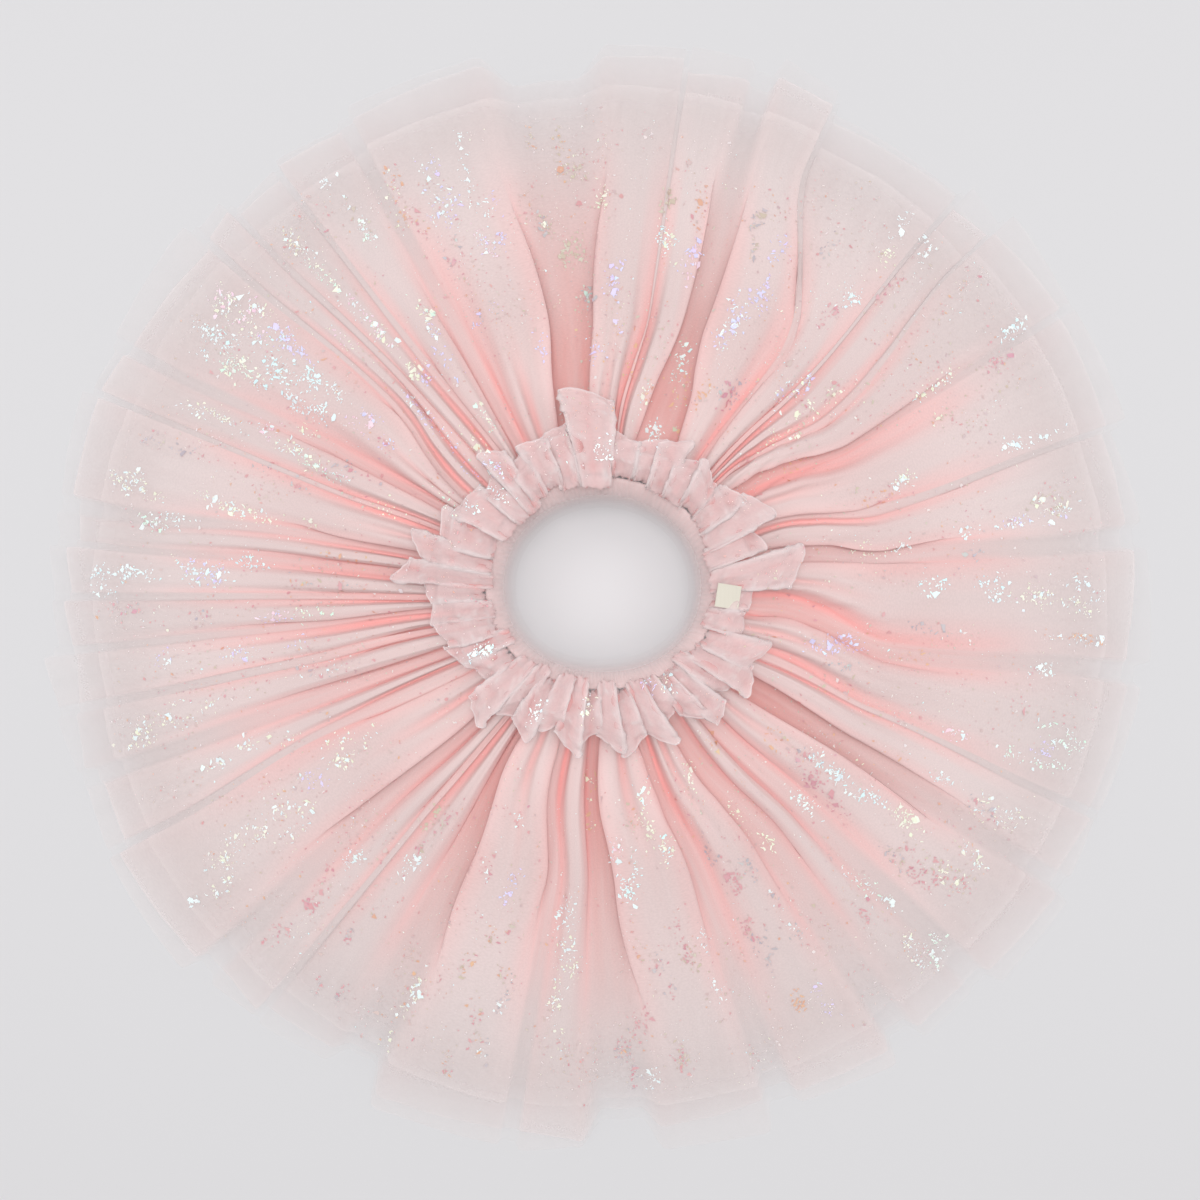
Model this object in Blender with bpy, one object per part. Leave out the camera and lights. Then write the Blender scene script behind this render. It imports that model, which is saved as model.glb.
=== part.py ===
import math
from collections import namedtuple

import bpy
from mathutils import Vector

# Child's tulle skirt laid out in a ring on a flat surface, waist up in the middle
# Metres, +Z up, origin under the middle of the spread skirt, azimuths in degrees from +X towards +Y

# Driving dimensions
WALL = 0.0012
SEAM_GAP = 0.0003
FRILL_GAP = 0.0006
WAIST_RADIUS = 0.0600
WAIST_SHIFT = 0.0090
WAIST_OVAL = 0.0025
CASING_WALL = 0.0026
CASING_BOTTOM = 0.0200
CASING_TOP = 0.0485
CASING_GATHERS = 44
CASING_GATHER_DEPTH = 0.0007
OUTER_HEM = 0.2810
MIDDLE_HEM = 0.2985
UNDER_HEM = 0.3080
NEAR_RADIUS = 0.088
MID_RADIUS = 0.157
HEM_RADIUS = 0.266
LAP = 0.0036
LABEL_SIDE = 0.0125
LABEL_THICK = 0.0009
LABEL_AT = (0.0662, 0.0019)
LABEL_TURN = math.radians(-9.0)
LABEL_LIFT = 0.0165

# Where the left and right edge of each fold lie close to the waist, halfway and at the hem, how far each edge
# laps over its neighbour (0 to 1), the share of the full height it has, the share of the full depth of the
# valley after it, how far its hem reaches, and the depth of the small gather in its face by the waist
Fold = namedtuple(
    "Fold", "near_l near_r mid_l mid_r hem_l hem_r lap_l lap_r height valley reach dip"
)
FOLDS = [
    Fold(*row)
    for row in (
        (1.5, 11.5, -8.5, 7.6, -6.4, 5.2, 0.2, 0.9, 0.95, 0.75, 0.998, 0.30),
        (17.0, 24.0, 9.4, 17.0, 8.4, 18.3, 0.9, 0.1, 0.85, 0.55, 0.990, 0.0),
        (25.7, 36.5, 18.4, 31.0, 19.2, 31.4, 1.0, 0.1, 1.00, 0.90, 1.000, 0.35),
        (40.6, 45.3, 32.4, 38.2, 32.6, 43.0, 1.0, 0.5, 0.95, 0.60, 1.010, 0.0),
        (46.2, 48.5, 39.8, 46.6, 43.6, 48.0, 0.0, 0.0, 0.60, 0.45, 0.985, 0.0),
        (49.6, 53.8, 47.4, 53.2, 48.8, 64.2, 0.4, 0.9, 0.90, 0.60, 0.995, 0.0),
        (55.2, 64.5, 54.2, 69.3, 65.0, 71.2, 0.2, 1.0, 1.00, 0.95, 1.015, 0.0),
        (77.6, 84.2, 73.6, 80.2, 74.4, 80.6, 1.0, 0.1, 0.95, 0.40, 1.018, 0.0),
        (85.2, 94.4, 81.0, 91.8, 81.4, 89.8, 0.0, 1.0, 1.00, 1.00, 1.012, 0.30),
        (103.8, 116.6, 100.9, 116.6, 102.6, 117.2, 1.0, 0.3, 1.00, 0.75, 1.008, 0.40),
        (119.8, 124.2, 119.2, 126.2, 119.4, 126.6, 0.7, 0.8, 0.95, 0.55, 1.000, 0.0),
        (126.2, 131.4, 127.6, 131.6, 127.6, 133.0, 0.1, 0.3, 0.80, 0.50, 0.992, 0.0),
        (134.6, 141.0, 132.6, 135.8, 134.0, 137.2, 0.2, 0.1, 0.75, 0.55, 0.990, 0.0),
        (143.4, 148.8, 136.8, 149.6, 138.4, 151.2, 0.9, 0.3, 1.00, 0.70, 1.006, 0.35),
        (150.4, 156.0, 151.0, 157.4, 153.0, 157.2, 0.9, 0.1, 0.90, 0.45, 1.000, 0.0),
        (157.4, 165.8, 158.4, 167.0, 158.2, 168.6, 0.1, 0.9, 1.00, 0.65, 1.008, 0.30),
        (167.6, 171.2, 168.4, 172.0, 171.0, 173.4, 0.0, 0.4, 0.85, 0.80, 1.000, 0.0),
        (174.0, 178.6, 173.8, 178.8, 174.4, 179.0, 0.3, 0.3, 0.90, 0.60, 1.004, 0.0),
        (180.0, 183.0, 180.0, 184.6, 180.2, 184.8, 0.1, 0.9, 0.85, 0.70, 1.004, 0.0),
        (184.8, 189.6, 186.0, 191.0, 186.0, 191.0, 0.0, 0.4, 0.85, 0.50, 1.000, 0.0),
        (191.0, 197.8, 192.2, 197.8, 192.4, 198.0, 0.1, 0.6, 0.95, 0.75, 1.006, 0.0),
        (200.2, 203.4, 200.4, 204.4, 200.4, 206.6, 0.3, 0.1, 0.75, 0.55, 0.996, 0.0),
        (207.6, 222.4, 205.8, 221.0, 207.8, 221.2, 0.6, 1.0, 1.00, 0.80, 1.008, 0.45),
        (226.0, 230.6, 224.4, 229.8, 224.6, 229.8, 0.3, 0.5, 0.85, 0.50, 1.000, 0.0),
        (232.0, 237.6, 231.2, 238.8, 231.0, 239.0, 0.1, 0.3, 0.80, 0.95, 0.994, 0.0),
        (239.8, 253.2, 243.4, 259.6, 245.4, 259.0, 1.0, 0.9, 1.00, 0.75, 1.004, 0.40),
        (256.6, 265.8, 261.4, 268.0, 261.4, 268.0, 0.1, 0.4, 0.90, 1.00, 1.000, 0.0),
        (268.6, 284.4, 272.6, 288.6, 276.4, 287.6, 1.0, 0.8, 1.00, 0.85, 1.000, 0.45),
        (287.4, 297.8, 290.8, 302.4, 291.8, 302.4, 0.2, 0.7, 0.90, 0.85, 0.994, 0.35),
        (303.4, 309.6, 307.4, 312.2, 306.6, 313.0, 0.4, 0.5, 0.80, 0.75, 0.990, 0.0),
        (314.4, 326.4, 316.2, 327.4, 316.4, 327.0, 0.4, 0.9, 1.00, 1.00, 0.994, 0.30),
        (333.4, 339.6, 331.4, 337.2, 329.6, 335.8, 0.9, 0.3, 0.90, 0.50, 0.992, 0.0),
        (343.0, 355.0, 338.4, 348.4, 337.2, 350.6, 0.1, 0.6, 1.00, 0.85, 1.000, 0.30),
    )
]

# Height of the crests and of the valley floors of the top layer, by share of the way from waist to hem
Rise = namedtuple("Rise", "share crest floor lap")
OUTER_RISE = [
    Rise(*row)
    for row in (
        (0.00, 0.0440, 0.0415, 0.0),
        (0.05, 0.0465, 0.0375, 0.3),
        (0.14, 0.0480, 0.0320, 0.9),
        (0.32, 0.0440, 0.0275, 1.0),
        (0.54, 0.0350, 0.0210, 1.0),
        (0.77, 0.0240, 0.0135, 0.7),
        (1.00, 0.0130, 0.0066, 0.2),
    )
]
MIDDLE_RISE = [
    Rise(*row)
    for row in (
        (0.00, 0.0372, 0.0360, 0.0),
        (0.10, 0.0315, 0.0262, 0.0),
        (0.32, 0.0246, 0.0196, 0.0),
        (0.58, 0.0166, 0.0120, 0.0),
        (0.80, 0.0094, 0.0060, 0.0),
        (1.00, 0.0040, 0.0024, 0.0),
    )
]
UNDER_RISE = [
    Rise(*row)
    for row in (
        (0.00, 0.0300, 0.0290, 0.0),
        (0.10, 0.0232, 0.0190, 0.0),
        (0.32, 0.0140, 0.0104, 0.0),
        (0.58, 0.0040, 0.0020, 0.0),
        (0.72, 0.0006, 0.0006, 0.0),
        (1.00, 0.0006, 0.0006, 0.0),
    )
]

# Each flap of the frill: its middle, half its width in degrees, how far it reaches past the casing in
# millimetres, how far its edge leans round in degrees and its lift above the others in millimetres
Flap = namedtuple("Flap", "middle half reach lean lift")
FLAPS = [
    Flap(*row)
    for row in (
        (9.6, 4.6, 42, 0.3, 1.5),
        (20.0, 3.6, 24, 2.0, 0.0),
        (29.5, 3.2, 33, 2.5, 0.5),
        (38.0, 3.0, 24, 2.0, 0.0),
        (46.0, 3.0, 22, 2.5, 1.0),
        (54.5, 3.2, 21, 2.0, 0.0),
        (63.0, 3.0, 26, 1.4, 1.0),
        (71.5, 3.2, 22, 0.5, 0.0),
        (80.5, 3.2, 21, 0.5, 0.5),
        (93.0, 5.6, 44, 1.5, 2.0),
        (105.5, 3.2, 27, 0.5, 0.0),
        (113.5, 3.0, 25, 1.0, 0.5),
        (120.5, 2.2, 20, 1.0, 0.0),
        (126.0, 1.6, 31, 0.5, 2.5),
        (132.5, 2.6, 19, 1.0, 0.0),
        (142.0, 4.4, 24, 1.5, 1.0),
        (153.5, 4.2, 28, 1.5, 0.0),
        (163.0, 3.2, 38, 1.0, 1.5),
        (170.5, 2.2, 45, 0.5, 0.5),
        (177.0, 2.2, 30, 0.5, 0.0),
        (184.5, 2.8, 28, -0.5, 0.0),
        (193.0, 3.2, 27, -1.0, 0.5),
        (201.5, 3.0, 26, -1.0, 0.0),
        (210.5, 3.2, 20, -1.0, 1.0),
        (220.5, 3.8, 36, 1.0, 1.5),
        (229.5, 2.6, 26, 1.0, 0.0),
        (237.0, 2.8, 31, 1.0, 1.0),
        (245.5, 3.0, 24, 1.0, 0.0),
        (254.5, 3.4, 30, 1.0, 1.5),
        (263.5, 3.0, 25, 0.5, 0.0),
        (272.5, 3.2, 28, 0.0, 1.0),
        (281.5, 3.0, 31, 1.0, 0.0),
        (290.5, 3.4, 30, 1.5, 1.5),
        (299.5, 3.0, 20, 1.0, 0.0),
        (307.5, 2.8, 27, 1.0, 0.5),
        (315.5, 3.0, 34, 1.0, 1.5),
        (323.5, 2.8, 25, 0.5, 0.0),
        (331.5, 3.0, 33, 0.3, 1.0),
        (340.5, 3.0, 30, -0.3, 0.5),
        (350.5, 3.2, 15, 0.0, 0.0),
        (360.5, 3.0, 16, 0.0, -1.2),
    )
]

# The frill's path at a crest and at a valley: share of its reach past the casing and height above its foot
Bend = namedtuple("Bend", "crest_out crest_up valley_out valley_up")
FRILL_BENDS = [
    Bend(*row)
    for row in (
        (0.00, 0.0000, 0.00, 0.0000),
        (0.06, 0.0075, 0.02, 0.0066),
        (0.42, 0.0150, 0.26, 0.0098),
        (0.78, 0.0128, 0.52, 0.0088),
        (1.00, 0.0085, 0.70, 0.0060),
    )
]

# sRGB colours and roughness
PINK_FOIL = (0.918, 0.790, 0.790)
PINK_PLAIN = (0.925, 0.820, 0.815)
PALE_PLAIN = (0.925, 0.870, 0.865)
CASING_PINK = (0.875, 0.745, 0.740)
FRILL_PINK = (0.914, 0.820, 0.830)
LABEL_CREAM = (0.894, 0.878, 0.827)


def clear_scene():
    for thing in list(bpy.data.objects):
        bpy.data.objects.remove(thing, do_unlink=True)


def linear(colour):
    return [c / 12.92 if c <= 0.04045 else ((c + 0.055) / 1.055) ** 2.4 for c in colour] + [1.0]


def cloth_material(name, colour, roughness):
    material = bpy.data.materials.new(name)
    material.use_nodes = True
    shader = material.node_tree.nodes["Principled BSDF"]
    shader.inputs["Base Color"].default_value = linear(colour)
    shader.inputs["Roughness"].default_value = roughness
    shader.inputs["Metallic"].default_value = 0.0
    return material


def waist_radius(degrees):
    # the relaxed elastic lies as a slight oval, a little towards +Y of the skirt's middle
    turn = math.radians(degrees)
    return WAIST_RADIUS + WAIST_SHIFT * math.sin(turn) + WAIST_OVAL * math.cos(2.0 * turn)


def polar(degrees, radius, height):
    turn = math.radians(degrees)
    return Vector((radius * math.cos(turn), radius * math.sin(turn), height))


def smooth(low, high, value):
    share = min(1.0, max(0.0, (value - low) / (high - low)))
    return share * share * (3.0 - 2.0 * share)


def edge_at(radius, near, mid, hem):
    # the same weights serve every fold, so that folds never change places
    out = smooth(NEAR_RADIUS, MID_RADIUS, radius)
    far = smooth(MID_RADIUS, HEM_RADIUS, radius)
    return near + (mid - near) * out + (hem - mid) * far


def fold_edges(fold, radius):
    left = edge_at(radius, fold.near_l, fold.mid_l, fold.hem_l)
    right = edge_at(radius, fold.near_r, fold.mid_r, fold.hem_r)
    return left, right


def lap_degrees(fold_width, radius, share):
    # the tucked-under foot stays inside a third of the fold
    return min(math.degrees(LAP * share / radius), 0.30 * fold_width)


def lapped_fold(fold, radius, rise, dip_share):
    # azimuth, share of the height, for the points across one fold, from its left foot to its right foot
    left, right = fold_edges(fold, radius)
    width = right - left
    lap_l = lap_degrees(width, radius, fold.lap_l * rise.lap)
    lap_r = lap_degrees(width, radius, fold.lap_r * rise.lap)
    slope_l = 0.15 * width * (1.0 - fold.lap_l)
    slope_r = 0.15 * width * (1.0 - fold.lap_r)
    points = [
        (left + lap_l, 0.12),
        (left + slope_l, 0.42 + 0.34 * fold.lap_l),
        (left + 0.32 * width, 0.95),
        (right - 0.30 * width, 1.00),
        (right - slope_r, 0.42 + 0.34 * fold.lap_r),
        (right - lap_r, 0.12),
    ]
    if fold.dip > 0.0:
        points.insert(3, (left + 0.52 * width, 1.02 - fold.dip * dip_share))
    return points


def soft_fold(fold, radius, crests):
    # a rounded fold of a hidden layer, with one or two points on its crest
    left, right = fold_edges(fold, radius)
    if crests == 1:
        return [(0.5 * (left + right), 1.0)]
    inset = 0.25 * (right - left)
    return [(left + inset, 0.95), (right - inset, 1.0)]


def layer_ring(rise, hem, crests):
    # one ring of the mid surface, as points round the skirt; 0 crests asks for lapped folds
    ring = []
    dip_share = 1.0 - smooth(0.10, 0.50, rise.share)
    depth = rise.crest - rise.floor
    feet = []
    for fold in FOLDS:
        middle = 0.5 * (fold.mid_l + fold.mid_r)
        reach = waist_radius(middle) + SEAM_GAP
        radius = reach + (hem * fold.reach - reach) * rise.share
        if crests == 0:
            points = lapped_fold(fold, radius, rise, dip_share)
        else:
            points = soft_fold(fold, radius, crests)
        feet.append((fold, radius, points))
    for index, (fold, radius, points) in enumerate(feet):
        after = feet[(index + 1) % len(feet)]
        turn = 360.0 if index == len(feet) - 1 else 0.0
        for azimuth, share in points:
            height = rise.floor + depth * (fold.height * share)
            ring.append(ring_point(azimuth, radius, height, rise.share, hem * fold.reach))
        azimuth = 0.5 * (points[-1][0] + after[2][0][0] + turn)
        height = rise.floor + depth * 0.45 * (1.0 - fold.valley)
        hem_here = hem * 0.5 * (fold.reach + after[0].reach)
        ring.append(ring_point(azimuth, radius, height, rise.share, hem_here))
    return ring


def ring_point(azimuth, radius, height, share, hem):
    start = waist_radius(azimuth) + CASING_WALL / 2.0 + SEAM_GAP + CASING_GATHER_DEPTH
    return polar(azimuth, start + (hem - start) * share, height)


def frill_ring(bend):
    ring = []
    for index, flap in enumerate(FLAPS):
        after = FLAPS[(index + 1) % len(FLAPS)]
        turn = 360.0 if index == len(FLAPS) - 1 else 0.0
        lean = flap.lean * bend.crest_out
        for side, lower in ((-1.0, 0.0), (0.0, -0.0012), (1.0, 0.0012)):
            azimuth = flap.middle + side * flap.half + lean
            out = bend.crest_out * flap.reach / 1000.0
            lift = bend.crest_up + (flap.lift / 1000.0 - lower) * bend.crest_out
            ring.append(frill_point(azimuth, out, lift))
        gap_start = flap.middle + flap.half
        gap_end = after.middle - after.half + turn
        azimuth = 0.5 * (gap_start + gap_end) + lean
        out = bend.valley_out * min(flap.reach, after.reach) / 1000.0
        ring.append(frill_point(azimuth, out, bend.valley_up))
    return ring


def frill_point(azimuth, out, lift):
    foot = CASING_TOP + FRILL_GAP
    return polar(azimuth, waist_radius(azimuth) + out, foot + lift)


def surface_normals(rings):
    # mid-surface normals, lengthened at sharp bends so that the wall keeps its thickness
    count = len(rings[0])
    normals = []
    for row, ring in enumerate(rings):
        inner = rings[max(0, row - 1)]
        outer = rings[min(len(rings) - 1, row + 1)]
        line = []
        for col in range(count):
            along = outer[col] - inner[col]
            before = (ring[col] - ring[col - 1]).normalized()
            after = (ring[(col + 1) % count] - ring[col]).normalized()
            first = along.cross(before).normalized()
            second = along.cross(after).normalized()
            normal = (first + second).normalized()
            line.append(normal / max(0.70, normal.dot(first)))
        normals.append(line)
    return normals


def wall_object(name, rings, thick, material, flat_foot=False):
    # a closed wall round the mid surface: outer skin, inner skin and the two rims
    count = len(rings[0])
    normals = surface_normals(rings)
    points = []
    for sign in (1.0, -1.0):
        for ring, line in zip(rings, normals):
            for point, normal in zip(ring, line):
                offset = -normal * sign * thick / 2.0
                points.append(point + offset)
    if flat_foot:
        points = [Vector((p.x, p.y, 0.0 if p.z < 0.0003 else p.z)) for p in points]
    skin = len(rings) * count
    faces = []
    for row in range(len(rings) - 1):
        for col in range(count):
            near = row * count + col
            near_next = row * count + (col + 1) % count
            faces.append((near, near_next, near_next + count, near + count))
            faces.append((skin + near, skin + near + count, skin + near_next + count, skin + near_next))
    last = (len(rings) - 1) * count
    for col in range(count):
        beside = (col + 1) % count
        faces.append((col, skin + col, skin + beside, beside))
        faces.append((last + col, last + beside, skin + last + beside, skin + last + col))
    return mesh_object(name, points, faces, material)


def mesh_object(name, points, faces, material):
    mesh = bpy.data.meshes.new(name)
    mesh.from_pydata([tuple(p) for p in points], [], faces)
    mesh.update()
    mesh.materials.append(material)
    item = bpy.data.objects.new(name, mesh)
    bpy.context.scene.collection.objects.link(item)
    return item


def centred(rings_by_name):
    # the spread skirt's own box is centred over the origin
    every = [p for rings in rings_by_name.values() for ring in rings for p in ring]
    middle_x = (min(p.x for p in every) + max(p.x for p in every)) / 2.0
    middle_y = (min(p.y for p in every) + max(p.y for p in every)) / 2.0
    shift = Vector((middle_x, middle_y, 0.0))
    moved = {
        name: [[p - shift for p in ring] for ring in rings]
        for name, rings in rings_by_name.items()
    }
    return moved, shift


def casing_rings():
    # lower and upper edge of the casing, with its gathers
    rings = []
    for height in (CASING_BOTTOM, CASING_TOP):
        ring = []
        for step in range(2 * CASING_GATHERS):
            azimuth = 360.0 * step / (2 * CASING_GATHERS)
            depth = CASING_GATHER_DEPTH * (1.0 if step % 2 else -1.0)
            ring.append(polar(azimuth, waist_radius(azimuth) + depth - CASING_GATHER_DEPTH, height))
        rings.append(ring)
    return rings


def label_object(material, shift):
    # a flat square of woven tape just above the frill
    half = LABEL_SIDE / 2.0
    height = CASING_TOP + LABEL_LIFT
    across = Vector((math.cos(LABEL_TURN), math.sin(LABEL_TURN), 0.0))
    along = Vector((-math.sin(LABEL_TURN), math.cos(LABEL_TURN), 0.0))
    middle = Vector((LABEL_AT[0], LABEL_AT[1], height)) - shift
    corners = [middle + across * half * x + along * half * y for x, y in ((-1, -1), (1, -1), (1, 1), (-1, 1))]
    up = Vector((0.0, 0.0, LABEL_THICK))
    points = corners + [corner + up for corner in corners]
    faces = [(3, 2, 1, 0), (4, 5, 6, 7)]
    faces += [(i, (i + 1) % 4, (i + 1) % 4 + 4, i + 4) for i in range(4)]
    return mesh_object("label", points, faces, material)


def build():
    clear_scene()
    surfaces = {
        "outer_tulle": [layer_ring(rise, OUTER_HEM, 0) for rise in OUTER_RISE],
        "middle_tulle": [layer_ring(rise, MIDDLE_HEM, 2) for rise in MIDDLE_RISE],
        "under_tulle": [layer_ring(rise, UNDER_HEM, 1) for rise in UNDER_RISE],
        "waist_casing": casing_rings(),
        "header_ruffle": [frill_ring(bend) for bend in FRILL_BENDS],
    }
    surfaces, shift = centred(surfaces)
    finishes = {
        "outer_tulle": cloth_material("foil_tulle", PINK_FOIL, 0.75),
        "middle_tulle": cloth_material("plain_tulle", PINK_PLAIN, 0.80),
        "under_tulle": cloth_material("pale_tulle", PALE_PLAIN, 0.80),
        "waist_casing": cloth_material("gathered_casing", CASING_PINK, 0.80),
        "header_ruffle": cloth_material("frill_tulle", FRILL_PINK, 0.75),
    }
    for name, rings in surfaces.items():
        thick = CASING_WALL if name == "waist_casing" else WALL
        wall_object(name, rings, thick, finishes[name], flat_foot=(name == "under_tulle"))
    label_object(cloth_material("label_tape", LABEL_CREAM, 0.85), shift)


build()
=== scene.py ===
import math

import bpy
import numpy as np
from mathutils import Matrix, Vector, noise
from mathutils.bvhtree import BVHTree


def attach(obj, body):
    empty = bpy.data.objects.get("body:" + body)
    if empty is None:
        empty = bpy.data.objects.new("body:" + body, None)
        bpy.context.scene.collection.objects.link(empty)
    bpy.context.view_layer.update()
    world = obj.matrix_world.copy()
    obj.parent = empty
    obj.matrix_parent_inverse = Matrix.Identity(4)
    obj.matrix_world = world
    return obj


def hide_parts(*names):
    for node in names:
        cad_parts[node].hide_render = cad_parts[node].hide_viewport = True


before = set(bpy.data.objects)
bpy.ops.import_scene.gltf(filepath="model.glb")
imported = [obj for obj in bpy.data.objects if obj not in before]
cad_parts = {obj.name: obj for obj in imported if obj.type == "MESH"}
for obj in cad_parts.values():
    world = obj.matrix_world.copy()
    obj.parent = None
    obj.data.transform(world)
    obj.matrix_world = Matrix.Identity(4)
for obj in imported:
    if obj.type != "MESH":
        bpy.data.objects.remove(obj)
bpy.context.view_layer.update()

# A child's tulle skirt laid out in a ring, seen from straight above
# Metres, +Z up, azimuths in degrees from +X towards +Y

print("frame loaded")

skirt = {
    "centring": (0.0009, -0.0017, 0.0),
    "waistRadius": 0.0600,
    "waistShift": 0.0090,  # the relaxed elastic lies a little towards +Y
    "waistOval": 0.0025,
    "casingWall": 0.0026,
    "casingBottom": 0.0200,
    "casingTop": 0.0485,
    "seamGap": 0.0010,
    "nearRadius": 0.088,
    "midRadius": 0.157,
    "hemRadius": 0.266,
    "lap": 0.0046,  # how far a pressed fold turns under itself
}

# Each fold: its left and right edge close to the waist, halfway and at the hem, how far each edge laps over its
# neighbour, its share of the height, how deep the valley after it is, how far its hem reaches, the small gather
# in its face by the waist
folds = np.array([
    (1.5, 11.5, -8.5, 7.6, -6.4, 5.2, 0.2, 0.9, 0.95, 0.75, 0.998, 0.3),
    (17, 24, 9.4, 17, 8.4, 18.3, 0.9, 0.1, 0.85, 0.55, 0.99, 0),
    (25.7, 36.5, 18.4, 31, 19.2, 31.4, 1, 0.1, 1, 0.9, 1, 0.35),
    (40.6, 45.3, 32.4, 38.2, 32.6, 43, 1, 0.5, 0.95, 0.6, 1.01, 0),
    (46.2, 48.5, 39.8, 46.6, 43.6, 48, 0, 0, 0.6, 0.45, 0.985, 0),
    (49.6, 53.8, 47.4, 53.2, 48.8, 64.2, 0.4, 0.9, 0.9, 0.6, 0.995, 0),
    (55.2, 64.5, 54.2, 69.3, 65, 71.2, 0.2, 1, 1, 0.95, 1.015, 0),
    (77.6, 84.2, 73.6, 80.2, 74.4, 80.6, 1, 0.1, 0.95, 0.4, 1.018, 0),
    (85.2, 94.4, 81, 91.8, 81.4, 89.8, 0, 1, 1, 1, 1.012, 0.3),
    (103.8, 116.6, 100.9, 116.6, 102.6, 117.2, 1, 0.3, 1, 0.75, 1.008, 0.4),
    (119.8, 124.2, 119.2, 126.2, 119.4, 126.6, 0.7, 0.8, 0.95, 0.55, 1, 0),
    (126.2, 131.4, 127.6, 131.6, 127.6, 133, 0.1, 0.3, 0.8, 0.5, 0.992, 0),
    (134.6, 141, 132.6, 135.8, 134, 137.2, 0.2, 0.1, 0.75, 0.55, 0.99, 0),
    (143.4, 148.8, 136.8, 149.6, 138.4, 151.2, 0.9, 0.3, 1, 0.7, 1.006, 0.35),
    (150.4, 156, 151, 157.4, 153, 157.2, 0.9, 0.1, 0.9, 0.45, 1, 0),
    (157.4, 165.8, 158.4, 167, 158.2, 168.6, 0.1, 0.9, 1, 0.65, 1.008, 0.3),
    (167.6, 171.2, 168.4, 172, 171, 173.4, 0, 0.4, 0.85, 0.8, 1, 0),
    (174, 178.6, 173.8, 178.8, 174.4, 179, 0.3, 0.3, 0.9, 0.6, 1.004, 0),
    (180, 183, 180, 184.6, 180.2, 184.8, 0.1, 0.9, 0.85, 0.7, 1.004, 0),
    (184.8, 189.6, 186, 191, 186, 191, 0, 0.4, 0.85, 0.5, 1, 0),
    (191, 197.8, 192.2, 197.8, 192.4, 198, 0.1, 0.6, 0.95, 0.75, 1.006, 0),
    (200.2, 203.4, 200.4, 204.4, 200.4, 206.6, 0.3, 0.1, 0.75, 0.55, 0.996, 0),
    (207.6, 222.4, 205.8, 221, 207.8, 221.2, 0.6, 1, 1, 0.8, 1.008, 0.45),
    (226, 230.6, 224.4, 229.8, 224.6, 229.8, 0.3, 0.5, 0.85, 0.5, 1, 0),
    (232, 237.6, 231.2, 238.8, 231, 239, 0.1, 0.3, 0.8, 0.95, 0.994, 0),
    (239.8, 253.2, 243.4, 259.6, 245.4, 259, 1, 0.9, 1, 0.75, 1.004, 0.4),
    (256.6, 265.8, 261.4, 268, 261.4, 268, 0.1, 0.4, 0.9, 1, 1, 0),
    (268.6, 284.4, 272.6, 288.6, 276.4, 287.6, 1, 0.8, 1, 0.85, 1, 0.45),
    (287.4, 297.8, 290.8, 302.4, 291.8, 302.4, 0.2, 0.7, 0.9, 0.85, 0.994, 0.35),
    (303.4, 309.6, 307.4, 312.2, 306.6, 313, 0.4, 0.5, 0.8, 0.75, 0.99, 0),
    (314.4, 326.4, 316.2, 327.4, 316.4, 327, 0.4, 0.9, 1, 1, 0.994, 0.3),
    (333.4, 339.6, 331.4, 337.2, 329.6, 335.8, 0.9, 0.3, 0.9, 0.5, 0.992, 0),
    (343, 355, 338.4, 348.4, 337.2, 350.6, 0.1, 0.6, 1, 0.85, 1, 0.3),
], dtype=[(name, float) for name in (
    "nearL", "nearR", "midL", "midR", "hemL", "hemR", "lapL", "lapR", "height", "valley", "reach", "dip")])


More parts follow.
